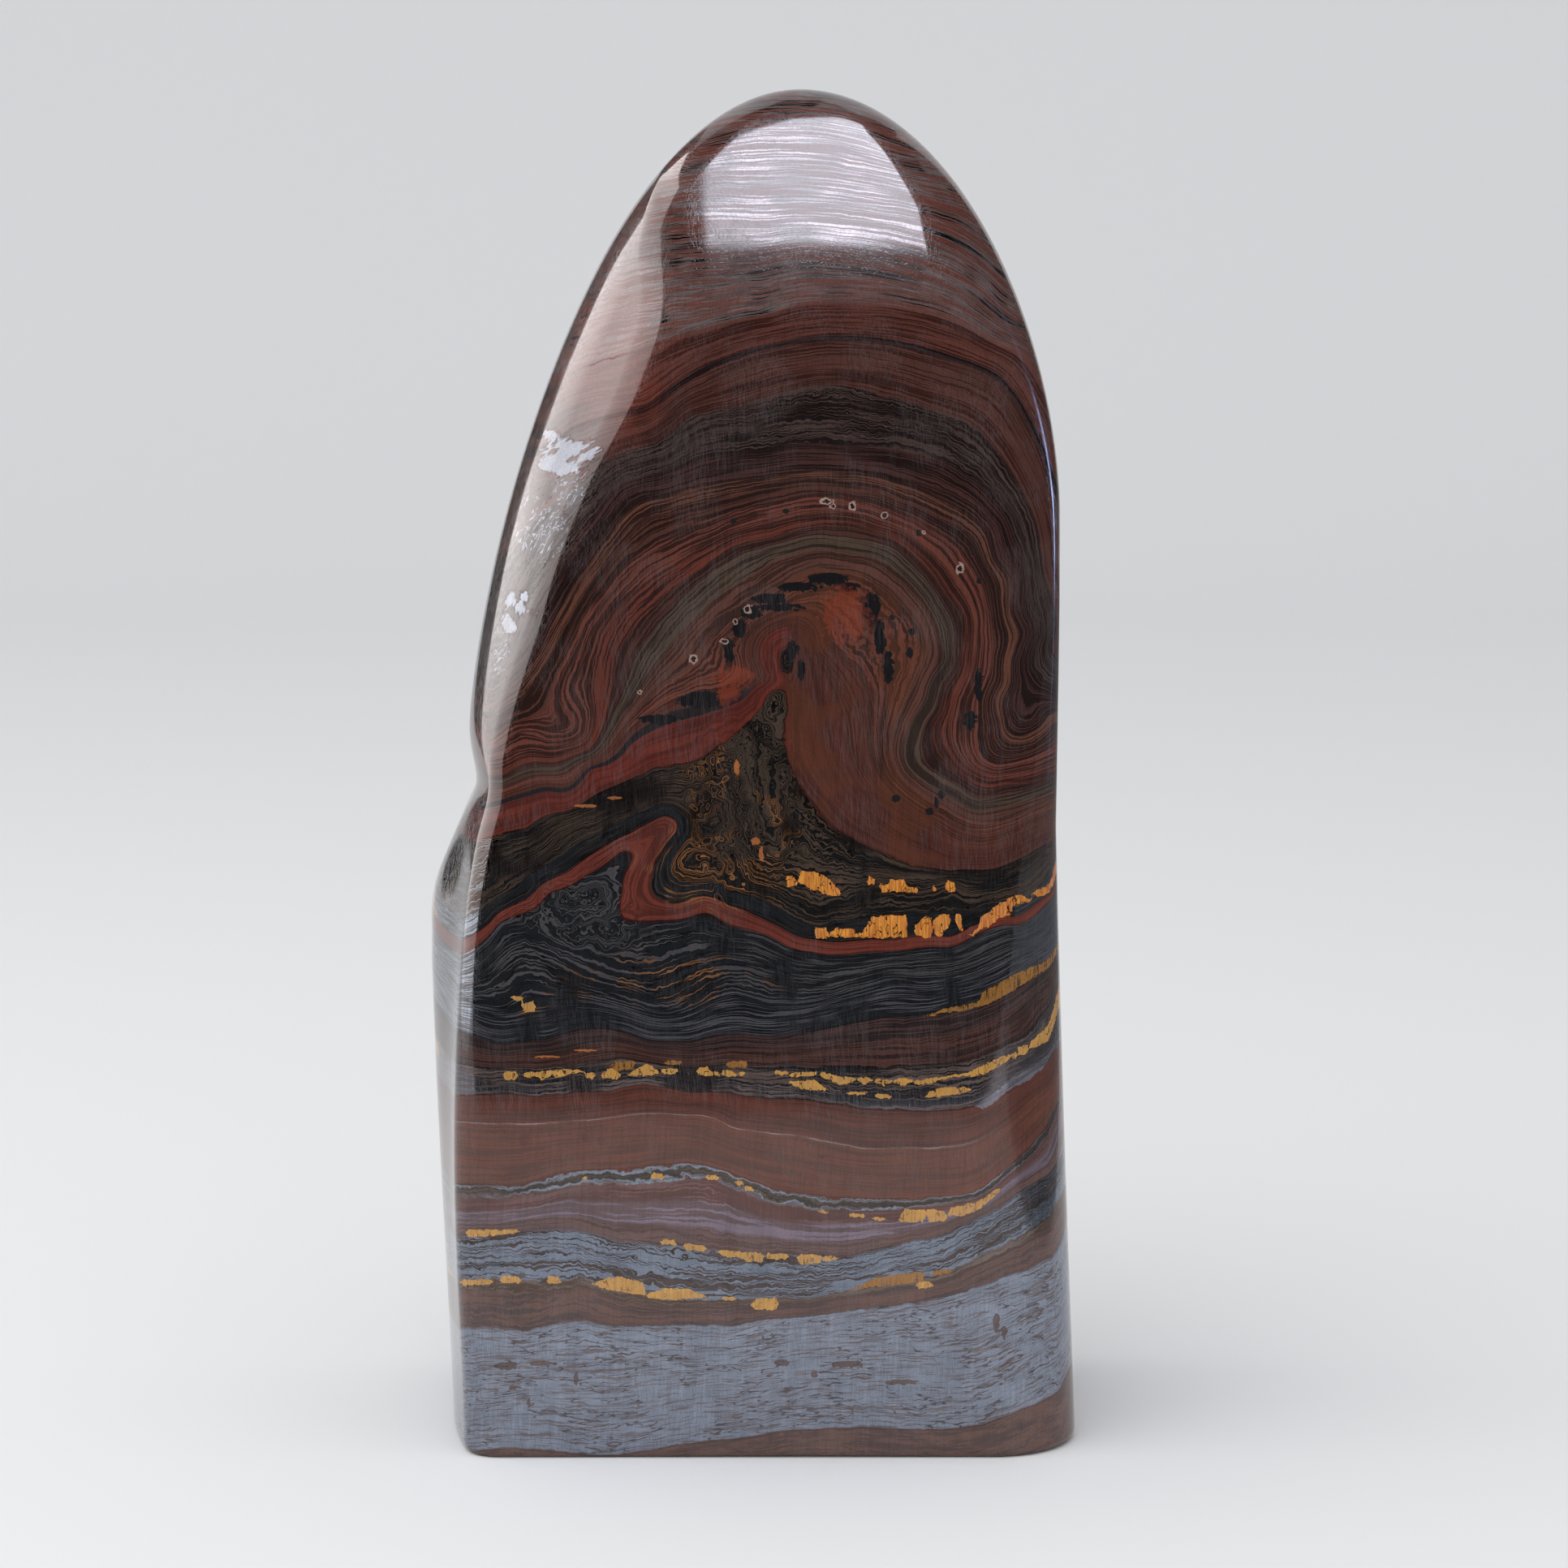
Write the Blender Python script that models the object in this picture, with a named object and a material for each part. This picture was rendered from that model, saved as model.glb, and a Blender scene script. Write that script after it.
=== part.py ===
# A standing freeform of polished tiger iron: one solid stone with a flat cut base and a domed top.
# Metres. X runs to the right of the front face, Y runs back from it and Z runs up from the base.
import bpy
import bmesh
import numpy as np

# Overall size, and the apex, where the dome closes. Y is measured from the flat front face while the stone
# is worked out, and the finished mesh is then centred over the origin.
HEIGHT = 0.150
THICKNESS = 0.042
APEX_X = 0.0018
APEX_Y = 0.020

# Outline of the dome seen from the front: half widths, the heights where the arches spring, their fullness.
RIGHT_REACH = 0.0281
RIGHT_SPRING = 0.105
RIGHT_POWER = 1.8
LEFT_REACH = 0.0371
LEFT_SPRING = 0.079
LEFT_POWER = 1.42

# Outline of the dome seen from the side.
FRONT_SPRING = 0.114
FRONT_POWER = 2.0
BACK_SPRING = 0.082
BACK_POWER = 1.7

# The right side flares slightly towards the base.
FLARE = 0.0029
FLARE_TOP = 0.070

# The left side has a waist, and below it a shoulder that stands out further at the back.
WAIST_HEIGHT = 0.074
WAIST_DEPTH = 0.0010
WAIST_SPREAD = 0.0032
SHOULDER_TOP = 0.074
SHOULDER_DROP = 0.017
SHOULDER_FRONT = 0.0024
SHOULDER_EXTRA = 0.0026
SHOULDER_NEAR = 0.005
SHOULDER_DEEP = 0.020
SHOULDER_FADE = 0.052

# The slanting facet down the front's left edge, at rising heights: where it leaves the front face, and by
# how many degrees it turns away from it.
FACET_LINE = [
    (0.000, -0.0352),
    (0.058, -0.0346),
    (0.075, -0.0314),
    (0.093, -0.0262),
    (0.108, -0.0206),
    (0.120, -0.0142),
    (0.134, -0.0106),
    (0.150, -0.0100),
]
FACET_TURN = [(0.000, 68.0), (0.055, 70.0), (0.080, 62.0), (0.150, 58.0)]

# The front face is flat below and crowned across near the top.
CROWN_RADIUS = 0.070
CROWN_START = 0.100
CROWN_FULL = 0.132

# Radii of the polished edges. The front right one changes with height.
FRONT_RIGHT_EDGE = [(0.000, 0.0095), (0.058, 0.0085), (0.080, 0.0050), (0.112, 0.0048), (0.132, 0.0080)]
FACET_EDGE = 0.0030
LEFT_EDGE = 0.0045
BACK_LEFT_EDGE = 0.0110
BACK_RIGHT_EDGE = 0.0080
BASE_EDGE = 0.0010
# Near the apex a radius takes at most this share of the room left in the section.
EDGE_SHARE = 0.8
# Edges that turn further than this, in degrees, are shaded sharp.
SHARP_TURN = 50.0

# How finely the surface is cut up. Extra columns stand round the two front edges: each row of
# EDGE_DIRECTIONS is a direction and a spread in degrees, and the extra crowding there.
COLUMNS = 76
RINGS = 46
EDGE_DIRECTIONS = [(-145.0, 10.0, 2.2), (-36.0, 12.0, 1.6)]
SEARCH_REACH = 0.070
SEARCH_STEPS = 40


def smooth_step(value):
    share = np.clip(value, 0.0, 1.0)
    return share * share * (3.0 - 2.0 * share)


def through(points, height):
    """Value at each height of a smooth curve through the (height, value) points."""
    at, value = np.array(points).T
    step = np.diff(at)
    slope = np.diff(value) / step
    inner = (slope[:-1] * step[1:] + slope[1:] * step[:-1]) / (step[1:] + step[:-1])
    tangent = np.concatenate([slope[:1], inner, slope[-1:]])
    place = np.clip(np.searchsorted(at, height) - 1, 0, len(step) - 1)
    t = np.clip((height - at[place]) / step[place], 0.0, 1.0)
    start = value[place] + t * step[place] * tangent[place]
    end = value[place + 1] - (1.0 - t) * step[place] * tangent[place + 1]
    return start + (end - start) * smooth_step(t)


def arch(height, spring, power):
    """Share of the full reach left at a height: 1 up to the spring, falling to 0 at the apex."""
    rise = np.clip((height - spring) / (HEIGHT - spring), 0.0, 1.0)
    return np.sqrt(1.0 - rise**power)


def rounded_meet(first, second, radius):
    """Distance outside two faces at once, with the edge between them rounded."""
    outer = np.hypot(np.maximum(first + radius, 0.0), np.maximum(second + radius, 0.0))
    return np.minimum(np.maximum(first, second), -radius) + outer


def left_limit(y, z):
    side = APEX_X - LEFT_REACH * arch(z, LEFT_SPRING, LEFT_POWER)
    waist = WAIST_DEPTH * np.exp(-(((z - WAIST_HEIGHT) / WAIST_SPREAD) ** 2))
    deep = smooth_step((y - SHOULDER_NEAR) / (SHOULDER_DEEP - SHOULDER_NEAR))
    deep = deep * np.clip(z / SHOULDER_FADE, 0.0, 1.0)
    reach = SHOULDER_FRONT + SHOULDER_EXTRA * deep
    shoulder = reach * smooth_step((SHOULDER_TOP - z) / SHOULDER_DROP)
    return side + waist - shoulder


def right_limit(z):
    flare = FLARE * np.clip(1.0 - z / FLARE_TOP, 0.0, 1.0)
    return APEX_X + RIGHT_REACH * arch(z, RIGHT_SPRING, RIGHT_POWER) + flare


def front_limit(x, z):
    crown = smooth_step((z - CROWN_START) / (CROWN_FULL - CROWN_START))
    bow = (x - APEX_X) ** 2 / (2.0 * CROWN_RADIUS) * crown
    return APEX_Y * (1.0 - arch(z, FRONT_SPRING, FRONT_POWER)) + bow


def back_limit(z):
    return APEX_Y + (THICKNESS - APEX_Y) * arch(z, BACK_SPRING, BACK_POWER)


def outside(x, y, z):
    """Distance by which a point lies outside the stone's section at its height."""
    room = EDGE_SHARE * np.minimum(
        APEX_Y * arch(z, FRONT_SPRING, FRONT_POWER),
        RIGHT_REACH * arch(z, RIGHT_SPRING, RIGHT_POWER),
    )
    turn = np.radians(through(FACET_TURN, z))
    facet = (through(FACET_LINE, z) - x) * np.sin(turn) - y * np.cos(turn)
    front = front_limit(x, z) - y
    stone = rounded_meet(front, x - right_limit(z), np.minimum(through(FRONT_RIGHT_EDGE, z), room))
    stone = rounded_meet(stone, facet, np.minimum(FACET_EDGE, room))
    stone = rounded_meet(stone, left_limit(y, z) - x, np.minimum(LEFT_EDGE, room))
    back = rounded_meet(y - back_limit(z), left_limit(y, z) - x, np.minimum(BACK_LEFT_EDGE, room))
    back = rounded_meet(back, x - right_limit(z), np.minimum(BACK_RIGHT_EDGE, room))
    return np.maximum(stone, back)


def column_directions():
    """Directions round the apex's axis, closer together towards the front edges."""
    fine = np.linspace(-180.0, 180.0, 3601)
    crowding = np.ones_like(fine)
    for centre, spread, extra in EDGE_DIRECTIONS:
        crowding += extra * np.exp(-(((fine - centre) / spread) ** 2))
    passed = np.concatenate([[0.0], np.cumsum((crowding[1:] + crowding[:-1]) / 2.0)])
    wanted = np.linspace(0.0, passed[-1], COLUMNS, endpoint=False)
    return np.radians(np.interp(wanted, passed, fine))


def ring_heights():
    """Heights of the rings above the base edge, closing up towards the apex."""
    share = np.arange(RINGS) / RINGS
    return BASE_EDGE + (HEIGHT - BASE_EDGE) * np.sin(share * np.pi / 2.0)


def surface_reach(direction, z):
    """Distance from the axis to the surface along each direction, found by halving."""
    near = np.zeros(np.broadcast(direction, z).shape)
    far = np.full_like(near, SEARCH_REACH)
    for _ in range(SEARCH_STEPS):
        middle = (near + far) / 2.0
        x = APEX_X + middle * np.cos(direction)
        y = APEX_Y + middle * np.sin(direction)
        beyond = outside(x, y, z) > 0.0
        far = np.where(beyond, middle, far)
        near = np.where(beyond, near, middle)
    return (near + far) / 2.0


def stone_rings():
    """Rings of points up the stone: the contact ring on the base, then one ring a height."""
    direction = column_directions()[None, :]
    height = ring_heights()[:, None]
    reach = surface_reach(direction, height)
    reach = np.vstack([reach[:1] - BASE_EDGE, reach])
    height = np.vstack([[[0.0]], height])
    x = APEX_X + reach * np.cos(direction)
    y = APEX_Y + reach * np.sin(direction)
    return np.stack([x, y, np.broadcast_to(height, x.shape)], axis=-1)


def lofted_stone(name):
    """One closed mesh: the rings joined in turn, a flat base and a fan at the apex."""
    rings = stone_rings()
    apex = np.array([APEX_X, APEX_Y, HEIGHT])
    low = rings.reshape(-1, 3).min(axis=0)
    high = rings.reshape(-1, 3).max(axis=0)
    centre = np.array([(low[0] + high[0]) / 2.0, (low[1] + high[1]) / 2.0, 0.0])
    bm = bmesh.new()
    loops = [[bm.verts.new(point - centre) for point in ring] for ring in rings]
    top = bm.verts.new(apex - centre)
    for lower, upper in zip(loops, loops[1:]):
        for i in range(COLUMNS):
            j = (i + 1) % COLUMNS
            bm.faces.new((lower[i], lower[j], upper[j], upper[i]))
    for i in range(COLUMNS):
        bm.faces.new((loops[-1][i], loops[-1][(i + 1) % COLUMNS], top))
    bm.faces.new(loops[0][::-1])
    mesh = bpy.data.meshes.new(name)
    bm.to_mesh(mesh)
    bm.free()
    mesh.shade_smooth()
    mesh.set_sharp_from_angle(angle=np.radians(SHARP_TURN))
    return mesh


def banded_ironstone():
    material = bpy.data.materials.new("banded_ironstone")
    material.use_nodes = True
    shader = material.node_tree.nodes["Principled BSDF"]
    shader.inputs["Base Color"].default_value = (0.105, 0.050, 0.042, 1.0)
    shader.inputs["Roughness"].default_value = 0.15
    shader.inputs["Metallic"].default_value = 0.25
    return material


def build():
    for old in list(bpy.data.objects):
        bpy.data.objects.remove(old, do_unlink=True)
    shelf = bpy.data.collections.new("tiger_iron")
    bpy.context.scene.collection.children.link(shelf)
    stone = bpy.data.objects.new("stone", lofted_stone("stone"))
    stone.data.materials.append(banded_ironstone())
    shelf.objects.link(stone)


build()
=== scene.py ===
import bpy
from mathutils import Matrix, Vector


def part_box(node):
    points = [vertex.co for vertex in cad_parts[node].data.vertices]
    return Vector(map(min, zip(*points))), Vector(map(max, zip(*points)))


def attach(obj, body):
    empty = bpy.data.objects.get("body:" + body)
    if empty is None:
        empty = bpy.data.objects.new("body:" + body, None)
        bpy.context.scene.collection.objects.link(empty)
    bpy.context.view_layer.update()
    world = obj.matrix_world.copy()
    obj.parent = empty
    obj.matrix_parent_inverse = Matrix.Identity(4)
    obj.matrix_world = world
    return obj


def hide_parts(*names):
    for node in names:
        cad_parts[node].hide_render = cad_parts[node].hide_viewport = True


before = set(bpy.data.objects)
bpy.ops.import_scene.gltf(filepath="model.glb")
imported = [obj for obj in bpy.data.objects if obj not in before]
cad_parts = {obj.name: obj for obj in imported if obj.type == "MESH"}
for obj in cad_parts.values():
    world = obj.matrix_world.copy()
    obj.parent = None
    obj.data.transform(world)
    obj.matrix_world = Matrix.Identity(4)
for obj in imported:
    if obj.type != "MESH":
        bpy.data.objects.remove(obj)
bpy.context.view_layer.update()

from types import SimpleNamespace
import bpy
import numpy as np

# A standing freeform of polished tiger iron. Metres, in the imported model's frame: +Z is up and the patterned
# face looks along -Y. While the stone is worked out, y runs back from the flat front face.

millimetres = 1000.0  # in a metre

# the photograph's camera, in the workshop's own axes, with its focal length in pixels of the photograph
camera = {
    "stand": (0.0, -0.520, 0.157),
    "tilt": 8.89,  # degrees down
    "focal": 5980.0,
    "picture": 1932.0,
    "sensor": 36.0,
    "clip": (0.05, 20.0),
}

# the stone's form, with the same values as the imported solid's
form = {
    "height": 0.150,
    "thickness": 0.042,
    "apexX": 0.0018,
    "apexY": 0.020,
    "rightReach": 0.0281,
    "rightSpring": 0.105,
    "rightPower": 1.8,
    "leftReach": 0.0371,
    "leftSpring": 0.079,
    "leftPower": 1.42,
    "frontSpring": 0.114,
    "frontPower": 2.0,
    "backSpring": 0.082,
    "backPower": 1.7,
    "flare": 0.0029,
    "flareTop": 0.070,
    "waistHeight": 0.074,
    "waistDepth": 0.0010,
    "waistSpread": 0.0032,
    "shoulderTop": 0.074,
    "shoulderDrop": 0.017,
    "shoulderFront": 0.0024,
    "shoulderExtra": 0.0026,
    "shoulderNear": 0.005,
    "shoulderDeep": 0.020,
    "shoulderFade": 0.052,
    "facetLine": [
        (0.000, -0.0352),
        (0.058, -0.0346),
        (0.075, -0.0314),
        (0.093, -0.0262),
        (0.108, -0.0206),
        (0.120, -0.0142),
        (0.134, -0.0106),
        (0.150, -0.0100),
    ],
    "facetTurn": [(0.000, 68.0), (0.055, 70.0), (0.080, 62.0), (0.150, 58.0)],
    "crownRadius": 0.070,
    "crownStart": 0.100,
    "crownFull": 0.132,
    "frontRightEdge": [
        (0.000, 0.0095),
        (0.058, 0.0085),
        (0.080, 0.0050),
        (0.112, 0.0048),
        (0.132, 0.0080),
    ],
    "facetEdge": 0.0030,
    "leftEdge": 0.0045,
    "backLeftEdge": 0.0110,
    "backRightEdge": 0.0080,
    "baseEdge": 0.0010,
    "edgeShare": 0.8,
    "columns": 300,
    "rings": 318,
    "baseRings": 5,
    "frontCrowding": 2.1,  # how much closer the columns stand on the front than on the back
    "outlineShare": 0.3,  # height of the section whose outline spaces the columns
    "outlineSteps": 7201,
    "heightSteps": 6001,
    "searchReach": 0.070,
    "searchSteps": 34,
}


def smoothStep(value):
    share = np.clip(value, 0.0, 1.0)
    return share * share * (3.0 - 2.0 * share)


def through(points, height):
    # a smooth curve through (height, value) points: each slope is the mean of its neighbours' slopes
    at, value = np.array(points).T
    step = np.diff(at)
    slope = np.diff(value) / step
    inner = (slope[:-1] * step[1:] + slope[1:] * step[:-1]) / (step[1:] + step[:-1])
    tangent = np.concatenate([slope[:1], inner, slope[-1:]])
    place = np.clip(np.searchsorted(at, height) - 1, 0, len(step) - 1)
    t = np.clip((height - at[place]) / step[place], 0.0, 1.0)
    start = value[place] + t * step[place] * tangent[place]
    end = value[place + 1] - (1.0 - t) * step[place] * tangent[place + 1]
    return start + (end - start) * smoothStep(t)


def arch(height, spring, power):
    # share of the full reach left at a height: the root of one minus the rise to a power
    rise = np.clip((height - spring) / (form["height"] - spring), 0.0, 1.0)
    return np.sqrt(1.0 - rise**power)


def roundedMeet(first, second, radius):
    # distance outside two faces at once, with the edge between them rounded
    outer = np.hypot(np.maximum(first + radius, 0.0), np.maximum(second + radius, 0.0))
    return np.minimum(np.maximum(first, second), -radius) + outer


def leftLimit(y, z):
    side = form["apexX"] - form["leftReach"] * arch(z, form["leftSpring"], form["leftPower"])
    waist = form["waistDepth"] * np.exp(-(((z - form["waistHeight"]) / form["waistSpread"]) ** 2))
    deep = smoothStep((y - form["shoulderNear"]) / (form["shoulderDeep"] - form["shoulderNear"]))
    deep = deep * np.clip(z / form["shoulderFade"], 0.0, 1.0)
    reach = form["shoulderFront"] + form["shoulderExtra"] * deep
    return side + waist - reach * smoothStep((form["shoulderTop"] - z) / form["shoulderDrop"])


def rightLimit(z):
    flare = form["flare"] * np.clip(1.0 - z / form["flareTop"], 0.0, 1.0)
    return form["apexX"] + form["rightReach"] * arch(z, form["rightSpring"], form["rightPower"]) + flare


def frontLimit(x, z):
    crown = smoothStep((z - form["crownStart"]) / (form["crownFull"] - form["crownStart"]))
    bow = (x - form["apexX"]) ** 2 / (2.0 * form["crownRadius"]) * crown
    return form["apexY"] * (1.0 - arch(z, form["frontSpring"], form["frontPower"])) + bow


def backLimit(z):
    back = form["thickness"] - form["apexY"]
    return form["apexY"] + back * arch(z, form["backSpring"], form["backPower"])


def outside(x, y, z):
    # how far a point lies outside the stone's section at its height: six faces, with rounded edges
    room = form["edgeShare"] * np.minimum(
        form["apexY"] * arch(z, form["frontSpring"], form["frontPower"]),
        form["rightReach"] * arch(z, form["rightSpring"], form["rightPower"]),
    )
    turn = np.radians(through(form["facetTurn"], z))
    facet = (through(form["facetLine"], z) - x) * np.sin(turn) - y * np.cos(turn)
    rightEdge = np.minimum(through(form["frontRightEdge"], z), room)
    stone = roundedMeet(frontLimit(x, z) - y, x - rightLimit(z), rightEdge)
    stone = roundedMeet(stone, facet, np.minimum(form["facetEdge"], room))
    stone = roundedMeet(stone, leftLimit(y, z) - x, np.minimum(form["leftEdge"], room))
    back = roundedMeet(y - backLimit(z), leftLimit(y, z) - x, np.minimum(form["backLeftEdge"], room))
    back = roundedMeet(back, x - rightLimit(z), np.minimum(form["backRightEdge"], room))
    return np.maximum(stone, back)


def surfaceReach(direction, z):
    # distance from the axis to the surface along each direction, found by halving
    near = np.zeros(np.broadcast(direction, z).shape)
    far = np.full_like(near, form["searchReach"])
    for _ in range(form["searchSteps"]):
        middle = (near + far) / 2.0
        x = form["apexX"] + middle * np.cos(direction)
        y = form["apexY"] + middle * np.sin(direction)
        beyond = outside(x, y, z) > 0.0
        far = np.where(beyond, middle, far)
        near = np.where(beyond, near, middle)
    return (near + far) / 2.0


def columnDirections():
    # directions round the axis at even steps along the outline of a low section, closer together in front
    fine = np.linspace(-np.pi, np.pi, form["outlineSteps"])
    reach = surfaceReach(fine, np.full_like(fine, form["height"] * form["outlineShare"]))
    x, y = reach * np.cos(fine), reach * np.sin(fine)
    crowding = 1.0 + (form["frontCrowding"] - 1.0) * smoothStep(0.5 - y / form["apexY"])
    step = np.hypot(np.diff(x), np.diff(y)) * (crowding[1:] + crowding[:-1]) / 2.0
    passed = np.concatenate([[0.0], np.cumsum(step)])
    return np.interp(np.linspace(0.0, passed[-1], form["columns"], endpoint=False), passed, fine)


def ringHeights():
    # heights at even steps along the right-hand outline, from the base edge to the last ring below the apex
    fine = np.linspace(form["baseEdge"], form["height"], form["heightSteps"])
    reach = form["rightReach"] * arch(fine, form["rightSpring"], form["rightPower"])
    passed = np.concatenate([[0.0], np.cumsum(np.hypot(np.diff(fine), np.diff(reach)))])
    return np.interp(np.linspace(0.0, passed[-1], form["rings"], endpoint=False), passed, fine)


def stoneRings():
    # base edge: a quarter round, set in by r - sqrt(r2 - (r - z)2); above it one ring a height
    direction = columnDirections()[None, :]
    height = ringHeights()[:, None]
    reach = surfaceReach(direction, height)
    turn = np.linspace(0.0, np.pi / 2.0, form["baseRings"], endpoint=False)[:, None]
    low = form["baseEdge"] * (1.0 - np.cos(turn))
    inset = form["baseEdge"] * (1.0 - np.sin(turn))
    reach = np.vstack([reach[:1] - inset, reach])
    height = np.vstack([low, height])
    x = form["apexX"] + reach * np.cos(direction)
    y = form["apexY"] + reach * np.sin(direction)
    return np.stack([x, y, np.broadcast_to(height, x.shape)], axis=-1)


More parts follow.
